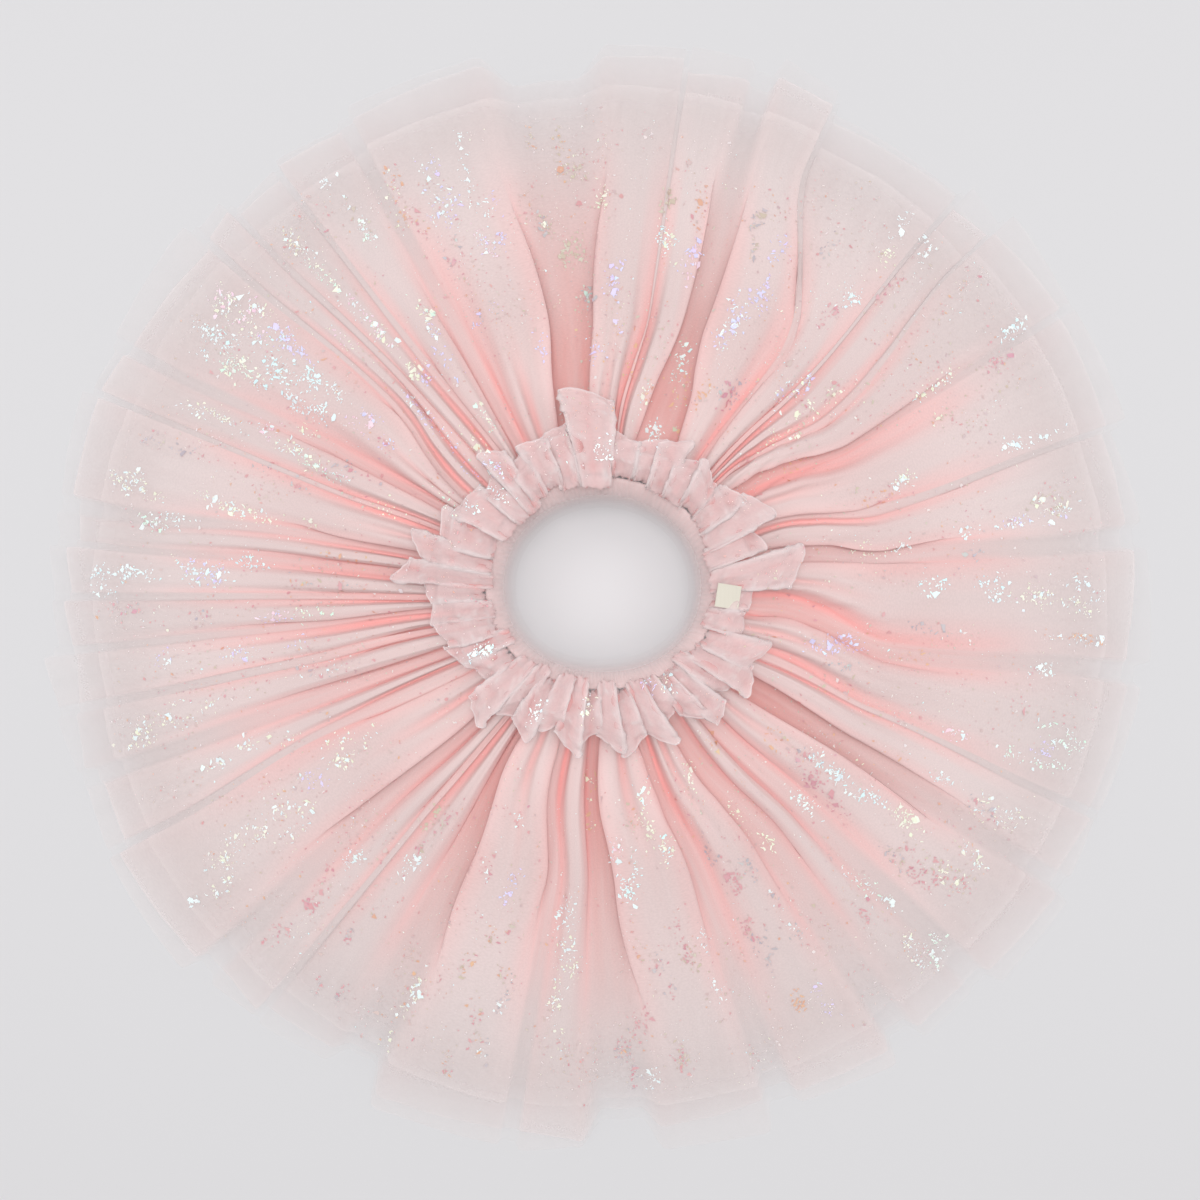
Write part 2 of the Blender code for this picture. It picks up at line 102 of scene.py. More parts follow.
# The frill's flaps: middle and half width in degrees, reach past the casing in mm, how far the edge leans round,
# lift in mm, which side lies on top of its neighbour (1 the later one, -1 the earlier one), slant of the end
flaps = np.array([
    (9.6, 4.6, 42, 0.3, 1.5, 1, -0.1),
    (20, 3.6, 24, 2, 0, -1, 0.1),
    (29.5, 3.2, 33, 2.5, 0.5, -1, 0.14),
    (38, 3, 24, 2, 0, -1, 0.1),
    (46, 3, 22, 2.5, 1, 1, -0.16),
    (54.5, 3.2, 21, 2, 0, 1, 0.14),
    (63, 3, 26, 1.4, 1, 1, 0.16),
    (71.5, 3.2, 22, 0.5, 0, 1, 0.12),
    (80.5, 3.2, 21, 0.5, 0.5, -1, -0.06),
    (93, 5.6, 44, 1.5, 2, 1, -0.08),
    (105.5, 3.2, 27, 0.5, 0, -1, 0.05),
    (113.5, 3, 25, 1, 0.5, -1, -0.05),
    (120.5, 2.2, 20, 1, 0, 1, 0.12),
    (126, 1.6, 31, 0.5, 2.5, 1, -0.1),
    (132.5, 2.6, 19, 1, 0, 1, 0.1),
    (142, 4.4, 24, 1.5, 1, 1, -0.08),
    (153.5, 4.2, 28, 1.5, 0, 1, 0.12),
    (163, 3.2, 38, 1, 1.5, 1, 0.14),
    (170.5, 2.2, 45, 0.5, 0.5, -1, -0.1),
    (177, 2.2, 30, 0.5, 0, 1, 0.06),
    (184.5, 2.8, 28, -0.5, 0, -1, -0.08),
    (193, 3.2, 27, -1, 0.5, 1, 0.08),
    (201.5, 3, 26, -1, 0, 1, 0.1),
    (210.5, 3.2, 20, -1, 1, -1, 0.12),
    (220.5, 3.8, 36, 1, 1.5, 1, -0.1),
    (229.5, 2.6, 26, 1, 0, -1, 0.1),
    (237, 2.8, 31, 1, 1, -1, -0.12),
    (245.5, 3, 24, 1, 0, 1, 0.14),
    (254.5, 3.4, 30, 1, 1.5, 1, -0.18),
    (263.5, 3, 25, 0.5, 0, 1, 0.18),
    (272.5, 3.2, 28, 0, 1, 1, -0.18),
    (281.5, 3, 31, 1, 0, 1, 0.16),
    (290.5, 3.4, 30, 1.5, 1.5, 1, -0.16),
    (299.5, 3, 20, 1, 0, 1, 0.18),
    (307.5, 2.8, 27, 1, 0.5, 1, -0.14),
    (315.5, 3, 34, 1, 1.5, 1, 0.12),
    (323.5, 2.8, 25, 0.5, 0, -1, -0.1),
    (331.5, 3, 33, 0.3, 1, -1, 0.1),
    (340.5, 3, 30, -0.3, 0.5, -1, -0.12),
    (350.5, 3.2, 15, 0, 0, 1, 0.06),
    (360.5, 3, 16, 0, -1.2, -1, 0),
], dtype=[(name, float) for name in ("middle", "half", "reach", "lean", "lift", "over", "slant")])

# Foil patches seen on the cloth: middle and half width in degrees, nearest and farthest place in pixels of the
# picture from the middle, how many shards, their tones
foilPatches = (
    (1, 1.4, 470, 500, 14, "W"), (1.3, 1.4, 382, 405, 24, "AW"), (2.5, 1.3, 325, 345, 18, "WA"),
    (1, 1.5, 420, 440, 12, "CP"), (7, 0.6, 376, 390, 5, "G"), (10.4, 0.4, 395, 470, 28, "WL"),
    (12, 1, 440, 505, 26, "VCW"), (10, 0.5, 300, 390, 16, "W"), (9.3, 0.5, 270, 312, 8, "C"),
    (11, 0.9, 262, 270, 6, "C"), (20.8, 0.8, 400, 500, 24, "W"), (21, 1.6, 295, 330, 22, "WC"),
    (20, 0.6, 286, 295, 5, "O"), (28.5, 0.4, 375, 395, 8, "VC"), (33.2, 0.4, 462, 505, 22, "WA"),
    (32.5, 0.5, 340, 440, 22, "CW"), (31.4, 0.9, 438, 470, 10, "R"), (35, 0.6, 225, 245, 8, "O"),
    (42.3, 1, 270, 330, 32, "CRV"), (41.3, 0.8, 240, 260, 12, "CV"), (43.5, 0.5, 228, 258, 9, "C"),
    (50.3, 0.6, 372, 400, 16, "AW"), (50.6, 0.4, 420, 450, 14, "C"), (51.2, 0.5, 460, 492, 14, "W"),
    (47.5, 0.6, 410, 470, 9, "R"), (47, 1, 465, 495, 12, "W"), (48.3, 1.5, 265, 312, 28, "LWC"),
    (52, 0.8, 350, 420, 12, "R"), (57, 0.8, 390, 420, 6, "G"), (62.8, 1.2, 335, 372, 26, "L"),
    (65, 1.2, 280, 350, 44, "LW"), (63.4, 0.8, 385, 410, 9, "L"), (67.5, 1.4, 330, 450, 20, "VG"),
    (64.3, 0.7, 213, 235, 9, "O"), (68.4, 1.2, 215, 238, 8, "OV"), (60, 4, 220, 305, 22, "GR"),
    (72.3, 1, 228, 256, 16, "AW"), (72.5, 2, 172, 202, 16, "AW"), (75.6, 1.2, 335, 372, 26, "LP"),
    (80.3, 1.7, 358, 388, 32, "AWC"), (80.8, 1.2, 395, 440, 16, "V"), (77, 1.2, 200, 225, 14, "COA"),
    (75.5, 0.8, 388, 416, 7, "O"), (87.7, 1.2, 306, 332, 18, "L"), (86, 0.8, 258, 275, 7, "LO"),
    (91.2, 0.9, 233, 250, 9, "L"), (84, 2, 228, 246, 7, "O"), (94.6, 2.2, 338, 368, 34, "V"),
    (94, 2.5, 292, 328, 22, "GR"), (93, 2, 408, 440, 12, "V"), (98.7, 1.2, 368, 396, 20, "VG"),
    (97, 3, 430, 472, 24, "VO"), (89.8, 0.4, 390, 490, 14, "C"), (103, 2.6, 215, 290, 14, "L"),
    (108.5, 1.6, 366, 394, 22, "LPW"), (105, 0.8, 360, 415, 12, "L"), (107, 1.4, 408, 485, 26, "W"),
    (112, 2.6, 408, 474, 48, "WL"), (116.8, 0.9, 412, 472, 30, "ORC"), (113, 2, 368, 386, 8, "RG"),
    (112.5, 2.6, 305, 327, 12, "LG"), (123.3, 0.6, 488, 516, 12, "W"), (123, 0.7, 418, 442, 16, "MW"),
    (122.4, 0.8, 445, 478, 8, "VW"), (121.8, 0.8, 334, 352, 14, "CM"), (122, 0.8, 290, 330, 12, "WL"),
    (122.5, 0.8, 255, 300, 9, "L"), (122, 0.9, 193, 226, 14, "CM"), (130.5, 0.7, 458, 497, 22, "WC"),
    (130.6, 0.6, 405, 442, 20, "CM"), (129.3, 0.7, 374, 396, 14, "PW"), (129.4, 0.8, 332, 368, 30, "CPW"),
    (129, 0.6, 290, 322, 16, "C"), (128.5, 0.5, 240, 300, 12, "L"), (129.2, 0.8, 195, 214, 14, "C"),
    (129.8, 1.2, 172, 196, 14, "LA"), (133.4, 0.6, 255, 312, 20, "WL"), (134, 0.7, 215, 258, 22, "WL"),
    (134.3, 0.8, 350, 372, 10, "CP"), (135, 0.7, 186, 212, 9, "L"), (141.2, 2.4, 430, 492, 72, "PCW"),
    (146.5, 2, 448, 482, 46, "WA"), (147.4, 1.7, 408, 442, 48, "CM"), (141.8, 2.4, 400, 426, 36, "AL"),
    (145.6, 2.2, 393, 418, 42, "A"), (141, 2, 384, 396, 14, "L"), (142, 2, 352, 372, 34, "A"),
    (146.8, 1.5, 333, 372, 42, "AW"), (142, 0.9, 324, 346, 14, "W"), (149.6, 0.6, 325, 350, 8, "C"),
    (144, 2.6, 284, 312, 22, "LP"), (144.5, 2.2, 238, 278, 14, "RL"), (148, 2, 178, 196, 12, "CM"),
    (145, 1.4, 160, 168, 9, "A"), (154.4, 1, 408, 452, 30, "CW"), (153, 0.9, 352, 378, 16, "WP"),
    (153.8, 0.9, 334, 350, 18, "CW"), (154.8, 0.8, 316, 332, 16, "CM"), (155.2, 0.9, 284, 308, 16, "MAP"),
    (156.8, 1.1, 228, 244, 14, "C"), (152, 1.5, 240, 292, 10, "RG"), (158.5, 1, 326, 362, 12, "RG"),
    (159.5, 1.6, 420, 482, 10, "G"), (166, 1.2, 438, 502, 44, "WC"), (166, 1, 350, 432, 38, "WC"),
    (165.8, 0.5, 292, 348, 10, "C"), (170.4, 0.6, 438, 468, 18, "WM"), (169.4, 0.5, 376, 440, 16, "W"),
    (177.6, 2.4, 478, 516, 38, "AW"), (176, 2, 438, 480, 24, "WA"), (176.6, 1.6, 383, 418, 46, "AWL"),
    (174, 0.9, 348, 368, 20, "A"), (182.3, 0.6, 262, 300, 18, "CM"), (183, 0.6, 290, 345, 14, "PL"),
    (178, 1.2, 238, 322, 10, "ORG"), (181.6, 0.8, 360, 472, 14, "GR"), (170, 1, 240, 282, 7, "O"),
    (189, 2, 300, 452, 30, "WL"), (195.5, 2.6, 398, 502, 48, "CW"), (194.5, 1.6, 250, 330, 14, "WRG"),
    (203.5, 1.6, 330, 480, 24, "WC"), (210, 3, 250, 330, 34, "WC"), (214, 4, 350, 432, 56, "WC"),
    (216, 3.4, 430, 502, 40, "CW"), (212, 2, 334, 346, 12, "L"), (226, 2.4, 380, 472, 30, "R"),
    (226, 2.2, 280, 372, 18, "W"), (233.5, 2.5, 250, 312, 30, "VR"), (235, 2.2, 255, 332, 18, "W"),
    (235, 3, 400, 482, 20, "RG"), (244.5, 0.9, 398, 502, 34, "CW"), (252, 4, 330, 492, 54, "OVR"),
    (252, 0.9, 290, 312, 12, "L"), (248, 3, 200, 322, 18, "WR"), (256, 2.2, 380, 472, 22, "WG"),
    (264, 1.7, 268, 332, 26, "W"), (264, 1.9, 348, 472, 44, "WC"), (266, 1.2, 180, 262, 10, "CO"),
    (273.5, 1.5, 438, 482, 26, "RG"), (275.3, 0.6, 408, 432, 12, "R"), (276, 0.4, 428, 482, 10, "W"),
    (276.2, 2, 270, 302, 36, "AW"), (273.3, 0.9, 234, 260, 14, "WP"), (279, 1.6, 440, 500, 16, "RV"),
    (284, 1.6, 348, 372, 18, "RV"), (282.5, 1, 333, 346, 7, "R"), (281.5, 1.4, 220, 236, 18, "C"),
    (284.6, 0.9, 222, 262, 20, "AC"), (277.5, 1.4, 213, 236, 10, "OV"), (282.2, 0.6, 180, 206, 10, "AC"),
    (280, 2.2, 345, 432, 14, "GR"), (286.6, 0.4, 330, 475, 16, "W"), (296, 1.7, 443, 456, 14, "O"),
    (299, 0.6, 443, 470, 9, "L"), (295, 1.3, 372, 412, 18, "G"), (294, 1.3, 343, 360, 12, "RV"),
    (296, 2.2, 308, 336, 16, "R"), (298.5, 1, 298, 312, 9, "G"), (300, 0.6, 338, 412, 12, "WG"),
    (293.5, 1.8, 253, 286, 12, "G"), (296.4, 1.1, 193, 217, 14, "C"), (301.8, 0.5, 244, 263, 8, "C"),
    (304.4, 0.6, 288, 306, 10, "C"), (311.4, 0.7, 452, 482, 20, "CW"), (310, 0.6, 398, 422, 12, "R"),
    (313.8, 1, 468, 497, 24, "WM"), (313, 0.9, 350, 426, 28, "MW"), (315, 0.4, 272, 312, 20, "W"),
    (308.7, 0.6, 174, 196, 10, "O"), (319.5, 1.4, 398, 427, 24, "R"), (318.9, 1, 383, 402, 14, "VG"),
    (321.6, 1.7, 428, 472, 36, "RVC"), (325.4, 0.7, 428, 492, 18, "WC"), (324.3, 1, 358, 402, 28, "C"),
    (323.2, 1.2, 308, 346, 22, "WA"), (323.6, 1.2, 264, 296, 32, "AW"), (319.4, 1.3, 268, 302, 22, "R"),
    (322, 2, 243, 262, 12, "RG"), (318.6, 1, 308, 342, 8, "R"), (321.6, 2, 208, 236, 9, "O"),
    (331.6, 1.3, 418, 472, 36, "WC"), (331, 1, 393, 442, 12, "RG"), (332.8, 0.7, 378, 402, 14, "W"),
    (339.5, 0.9, 468, 492, 14, "WM"), (343.6, 1, 458, 502, 26, "WM"), (341.5, 1, 458, 476, 10, "L"),
    (340, 1.2, 428, 446, 12, "WM"), (339.7, 0.6, 376, 390, 9, "PW"), (345, 2, 218, 262, 8, "G"),
    (350.4, 1.6, 236, 258, 30, "L"), (347.8, 0.8, 216, 231, 10, "L"), (350, 0.9, 312, 326, 6, "O"),
    (351.5, 0.6, 448, 492, 12, "W"), (355.2, 0.8, 438, 502, 26, "WO"), (359.4, 1.3, 425, 502, 40, "WC"),
    (354.5, 1.6, 298, 352, 10, "G"), (203.6, 2.6, 120, 138, 26, "AW"), (295.5, 4, 88, 101, 16, "LA"),
    (263.5, 2, 100, 111, 14, "CW"), (308.5, 3, 90, 108, 18, "CA"), (241, 3, 118, 140, 14, "W"),
    (90, 4, 130, 160, 12, "W"), (135, 4, 128, 165, 14, "WA"), (180, 1.6, 118, 124, 6, "R"),
)

# What each tone letter stands for: painted reflections, the pale tones for flakes that catch the light and the grey,
# olive, rose and orange ones for flakes turned away from it
foilTones = {
    "w": ("#F9EAE7", "#F4E6E4"),
    "g": ("#DDC0BD", "#E3C9C4"),
    "r": ("#E9AFAE", "#E2A8A8"),
    "v": ("#D9C6B2", "#DCCBBE"),
    "W": ("#FBFFFE", "#F1FAFA"),
    "A": ("#E6FEFF", "#F4FFFF"),
    "C": ("#FFFBEA", "#F8F6DE"),
    "L": ("#EEDCFF", "#E8E2FF"),
    "M": ("#E6FBEA", "#F2FFF2"),
    "P": ("#FFE4EE", "#FFD9E6"),
    "R": ("#E4A6AC", "#E8B2B4"),
    "O": ("#EFBD9C", "#EAB49A"),
    "V": ("#D8C5B2", "#DFCFC0"),
    "G": ("#CABDC0", "#D6C8CA"),
}


# Small helpers for numbers

def smooth(low, high, value):
    share = np.clip((value - low) / (high - low), 0.0, 1.0)
    return share * share * (3.0 - 2.0 * share)


def hermite(start, end, first, second, share):
    square, cube = share ** 2, share ** 3
    return (
        start * (2 * cube - 3 * square + 1) + first * (cube - 2 * square + share)
        + end * (3 * square - 2 * cube) + second * (cube - square)
    )


def curveThrough(table, at):
    # smooth values of every column of a short table, at the given places in its first column
    table = np.asarray(table, float)
    place = table[:, 0]
    slopes = np.gradient(table, place, axis=0)
    seat = np.clip(np.searchsorted(place, at, side="right") - 1, 0, len(place) - 2)
    step = (place[seat + 1] - place[seat])[:, None]
    share = (at - place[seat])[:, None] / step
    return hermite(table[seat], table[seat + 1], slopes[seat] * step, slopes[seat + 1] * step, share)


def closedCurve(points, scale, across, roundness):
    # a smooth closed section through its points: the tangents follow the shorter neighbour, so tight folds stay tight
    period = np.zeros(points.shape[1])
    period[0] = 360.0
    before = np.roll(points, 1, axis=0)
    before[0] -= period
    after = np.roll(points, -1, axis=0)
    after[-1] += period
    size = lambda step: np.sqrt(((step[:, :len(scale)] * scale) ** 2).sum(axis=1)) + 1e-9
    short = np.minimum(size(points - before), size(after - points))
    tangent = (after - before) / size(after - before)[:, None] * short[:, None] * roundness
    nextTangent = np.roll(tangent, -1, axis=0)
    rows = [hermite(points, after, tangent, nextTangent, step / across) for step in range(across)]
    return np.stack(rows, axis=1).reshape(-1, points.shape[1])


def waistRadius(degrees):
    turn = np.radians(degrees)
    return (
        skirt["waistRadius"] + skirt["waistShift"] * np.sin(turn) + skirt["waistOval"] * np.cos(2.0 * turn)
    )


def polar(degrees, radius, height):
    # the solids are centred on their own box, so the sheets take the same small step
    turn = np.radians(degrees)
    place = np.stack([radius * np.cos(turn), radius * np.sin(turn), height], axis=-1)
    return place + np.array(skirt["centring"])


def gridNormals(points):
    across = np.roll(points, -1, axis=1) - np.roll(points, 1, axis=1)
    along = np.gradient(points, axis=0)
    normal = np.cross(along, across)
    return normal / (np.linalg.norm(normal, axis=2, keepdims=True) + 1e-12)


# Sections of the gathered layers

def foldEdges(radius):
    out = smooth(skirt["nearRadius"], skirt["midRadius"], radius)
    far = smooth(skirt["midRadius"], skirt["hemRadius"], radius)
    left = folds["nearL"] + (folds["midL"] - folds["nearL"]) * out + (folds["hemL"] - folds["midL"]) * far
    right = folds["nearR"] + (folds["midR"] - folds["nearR"]) * out + (folds["hemR"] - folds["midR"]) * far
    return left, right


def slopeWidth(tuck, width):
    # an edge that turns under itself has next to no slope
    return (0.03 + 0.15 * (1.0 - tuck)) * width * (1.0 if tuck < 0.5 else 2.0 - 2.0 * tuck)


def sectionOf(layer, share, crest, floor, lapShare):
    # columns: azimuth, height, coral of the crowded layers with painted shade in the crevices, painted shade of the
    # open valleys, painted highlight of the fold edges, hem reach, cover
    draw = np.random.default_rng(layer["seed"] + 1)
    reaches = folds["reach"] + draw.uniform(-1.0, 1.0, len(folds)) * layer["uneven"]
    start = waistRadius(0.5 * (folds["midL"] + folds["midR"]))
    radius = start + (layer["hem"] * reaches - start) * share
    left, right = foldEdges(radius)
    width = right - left
    dipShare = 1.0 - smooth(0.10, 0.50, share)
    flatter = smooth(0.35, 0.95, share)
    # farther out the coral and painted shade spread over the face beside a gap
    widen = 0.14 + 0.18 * smooth(0.25, 0.60, share)
    slants = draw.uniform(-1.0, 1.0, len(folds)) * 0.5 * layer["uneven"]
    covers = draw.uniform(-1.0, 1.0, len(folds))
    bases = np.minimum(0.18 + 0.78 * (1.0 - folds["valley"]) + 0.24 * flatter, 0.72)
    # deep gaps get the reddest painted shade and keep it farther out
    strong = smooth(0.45, 0.95, folds["valley"])
    press = smooth(0.22, 0.65, share) * (1.0 - strong)
    tones = (0.42 + 0.58 * strong) * (1.0 - smooth(0.30 + 0.42 * strong, 0.62 + 0.45 * strong, share))
    lapL = folds["lapL"] * lapShare * (1.0 - np.roll(press, 1))
    lapR = folds["lapR"] * lapShare * (1.0 - press)
    lapL, lapR = [np.minimum(np.degrees(skirt["lap"] * lap / radius), 0.30 * width) for lap in (lapL, lapR)]
    section = []
    for i, fold in enumerate(folds):
        dip = fold["dip"] * dipShare
        before, after = folds[i - 1], folds[(i + 1) % len(folds)]
        turn = 360.0 if i == len(folds) - 1 else 0.0
        # slight gaps are pressed flat well before the hem, deep ones run on
        tuckL, tuckR = fold["lapL"] * lapShare * (1.0 - press[i - 1]), fold["lapR"] * lapShare * (1.0 - press[i])
        slopeL, slopeR = slopeWidth(tuckL, width[i]), slopeWidth(tuckR, width[i])
        # a face that runs in under its neighbour takes painted shade slowly towards it
        underL, underR = before["lapR"] * (1.0 - tuckL), after["lapL"] * (1.0 - tuckR)
        redL, redR = tones[i - 1], tones[i]
        # where an edge turns under, its slope carries a whitish painted highlight
        crossing = [
            (left[i] + lapL[i], 0.12 + 0.5 * bases[i - 1], max(0.9 * redL, 0.75), 0.0, -1.0),
            (left[i] + slopeL, 0.42 + 0.34 * tuckL, 0.36 + (0.18 + 0.28 * underL) * redL, 0.30 * tuckL, -0.8),
            (left[i] + 0.32 * width[i], 0.95, (0.02 + widen * underL) * redL, 0.0, -0.4),
            (left[i] + 0.52 * width[i], 1.02 - dip, 1.1 * dip, 0.0, 0.0),
            (right[i] - 0.30 * width[i], 1.00, (0.02 + widen * underR) * redR, 0.0, 0.4),
            (right[i] - slopeR, 0.42 + 0.34 * tuckR, 0.36 + (0.18 + 0.28 * underR) * redR, 0.30 * tuckR, 0.8),
            (right[i] - lapR[i], 0.12 + 0.5 * bases[i], max(0.9 * redR, 0.75), 0.0, 1.0),
        ]
        for azimuth, part, crowdingAndShade, highlightAndPaleness, side in crossing:
            calm = (press[i - 1] if side < 0.0 else press[i]) if side else 0.5 * (press[i - 1] + press[i])
            part = part + (0.60 - part) * max(0.68 * flatter, 0.85 * calm)
            height = floor + (crest - floor) * fold["height"] * part
            section.append((azimuth, height, crowdingAndShade, 0.0, highlightAndPaleness, reaches[i] + side * slants[i], covers[i]))
        gapEnd = left[(i + 1) % len(folds)] + lapL[(i + 1) % len(folds)] + turn
        gapStart = crossing[-1][0]
        wide = smooth(1.5, 6.0, gapEnd - gapStart)
        # painted shade: wide, deep open valleys are painted a darker rose
        valleyShade = wide * smooth(0.70, 1.0, fold["valley"])
        base = floor + (crest - floor) * bases[i]
        notch = 0.004 + layer["notch"] * wide * fold["valley"]
        reach = 0.5 * (reaches[i] + reaches[(i + 1) % len(folds)]) - notch
        # the gap itself is painted coral and shade, less of it where the gap lies wide open
        for at, red in ((0.22, 0.80 - 0.44 * wide), (0.50, 0.66 - 0.50 * wide), (0.78, 0.80 - 0.44 * wide)):
            section.append((gapStart + at * (gapEnd - gapStart), base, red * tones[i], valleyShade, 0.0, reach, -1.2))
    return np.array(section)


def gatheredLayer(layer):
    # the points of a gathered layer, a row for each ring from the waist seam to the hem
    shares = np.append(np.linspace(0.0, 1.0, layer["rows"]) ** 1.2 * 0.994, 1.0)
    rises = curveThrough(layer["rise"], shares)
    rings, facts = [], []
    for share, rise in zip(shares, rises):
        section = sectionOf(layer, share, rise[1], rise[2], np.clip(rise[3], 0.0, 1.0))
        typical = skirt["waistRadius"] + (layer["hem"] - skirt["waistRadius"]) * share
        scale = np.array([math.radians(1.0) * typical, 1.0])
        fine = closedCurve(section, scale, layer["across"], 0.95)
        start = waistRadius(fine[:, 0]) + skirt["casingWall"] / 2.0 + skirt["seamGap"]
        radius = start + (layer["hem"] * fine[:, 5] - start) * share
        rings.append(np.stack([fine[:, 0], radius, fine[:, 1]], axis=1))
        facts.append(np.column_stack([fine[:, 2:5], np.full(len(fine), share), fine[:, 6]]))
    return np.array(rings), np.array(facts)


gathering = {
    "height": 0.00042,  # at the seam
    "fade": 0.030,  # how far from the seam they die out
    "rest": 0.00010,  # what is left of them farther out
    "creases": (23, 31, 47),
    "creaseHeight": 0.00038,
}


def fineGathers(rings, layer):
    # fine radial gathers that die out away from the seam, and a few long soft creases
    draw = np.random.default_rng(layer["seed"])
    turn, radius = np.radians(rings[:, :, 0]), rings[:, :, 1]
    away = radius - waistRadius(rings[:, :, 0])
    lift = np.zeros_like(radius)
    for count in layer["gathers"]:
        phase, sway = draw.uniform(0, 6.28), draw.uniform(0.6, 1.6)
        swell = 0.55 + 0.45 * np.sin(turn * draw.integers(5, 12) + draw.uniform(0, 6.28))
        wave = np.sin(turn * count + phase + sway * np.sin(away * 28.0 + turn * 3.0))
        lift += wave * swell * (gathering["height"] * np.exp(-away / gathering["fade"]) + gathering["rest"])
    for count in gathering["creases"]:
        phase = draw.uniform(0, 6.28)
        wave = np.sin(turn * count + phase + 1.3 * np.sin(away * 17.0))
        lift += wave * gathering["creaseHeight"] * smooth(0.0, 0.04, away)
    return lift


def layerPoints(layer):
    rings, facts = gatheredLayer(layer)
    points = polar(rings[:, :, 0], rings[:, :, 1], rings[:, :, 2])
    points += gridNormals(points) * fineGathers(rings, layer)[:, :, None]
    points[:, :, 2] = np.maximum(points[:, :, 2], layer["lowest"])
    return points, facts


# Mesh building

def addObject(name, data):
    thing = bpy.data.objects.new(name, data)
    bpy.context.scene.collection.objects.link(thing)
    return thing


def clothMesh(name, points, values, clothSize, material):
    # a quad sheet closed round the waist, with float attributes and a UV map in metres of cloth
    rows, cols = points.shape[:2]
    i, j = np.meshgrid(np.arange(rows - 1), np.arange(cols), indexing="ij")
    k = (j + 1) % cols
    faces = np.stack([i * cols + j, (i + 1) * cols + j, (i + 1) * cols + k, i * cols + k], axis=-1).reshape(-1, 4)
    mesh = bpy.data.meshes.new(name)
    mesh.from_pydata(points.reshape(-1, 3).tolist(), [], faces.tolist())
    for mark, numbers in values.items():
        layer = mesh.attributes.new(mark, "FLOAT", "POINT")
        layer.data.foreach_set("value", np.asarray(numbers, np.float32).ravel())
    uv = mesh.uv_layers.new(name="clothMap")
    across = np.stack([j, j, j + 1, j + 1], axis=-1).reshape(-1, 4) / cols * clothSize[0]
    along = np.stack([i, i + 1, i + 1, i], axis=-1).reshape(-1, 4) / (rows - 1) * clothSize[1]
    uv.data.foreach_set("uv", np.stack([across, along], axis=-1).astype(np.float32).ravel())
    mesh.shade_smooth()
    mesh.materials.append(material)
    mesh.update()
    print(name, "faces", len(faces), "area", round(sum(polygon.area for polygon in mesh.polygons), 4))
    return addObject(name, mesh)


# Materials

def linear(code):
    parts = [int(code[i:i + 2], 16) / 255.0 for i in (1, 3, 5)]
    return [c / 12.92 if c <= 0.04045 else ((c + 0.055) / 1.055) ** 2.4 for c in parts] + [1.0]


def addNode(material, kind, values=None, links=None, **settings):
    node = material.node_tree.nodes.new(kind)
    for key, value in settings.items():
        setattr(node, key, value)
    for socket, value in (values or {}).items():
        node.inputs[socket].default_value = value
    for socket, source in (links or {}).items():
        material.node_tree.links.new(source, node.inputs[socket])
    return node


def startMaterial(name):
    material = bpy.data.materials.new(name)
    material.use_nodes = True
    material.node_tree.nodes.clear()
    return material


def addShader(material, values, links=None):
    shader = addNode(material, "ShaderNodeBsdfPrincipled", values, links)
    addNode(material, "ShaderNodeOutputMaterial", {}, {"Surface": shader.outputs["BSDF"]})
    return material


def blended(material, share, first, second):
    # colour inputs of a Mix node are its sockets 6 and 7
    values, links = {}, {"Factor": share}
    for socket, colour in ((6, first), (7, second)):
        if isinstance(colour, str):
            values[socket] = linear(colour)
        else:
            links[socket] = colour
    return addNode(material, "ShaderNodeMix", values, links, data_type="RGBA").outputs[2]


netting = {
    "thread": (0.005, 0.070),  # threads pulled by the gathers, across and along the skirt
    "cell": (0.0009, 0.0009),  # the net's cells, too small to be told apart, leave a fine uneven grain
    "grain": 0.03,
    "through": 0.85,  # light also comes through the net, so a steep face stays nearly as pale as a level one
}


def clothNoise(material, place, size, detail, roughness):
    width, length = size
    scaled = addNode(
        material, "ShaderNodeMapping", {"Scale": (1.0 / width, 1.0 / length, 1.0)}, {"Vector": place.outputs["UV"]}
    )
    return addNode(
        material, "ShaderNodeTexNoise", {"Scale": 1.0, "Detail": detail, "Roughness": roughness},
        {"Vector": scaled.outputs["Vector"]}, noise_dimensions="2D"
    ).outputs["Fac"]


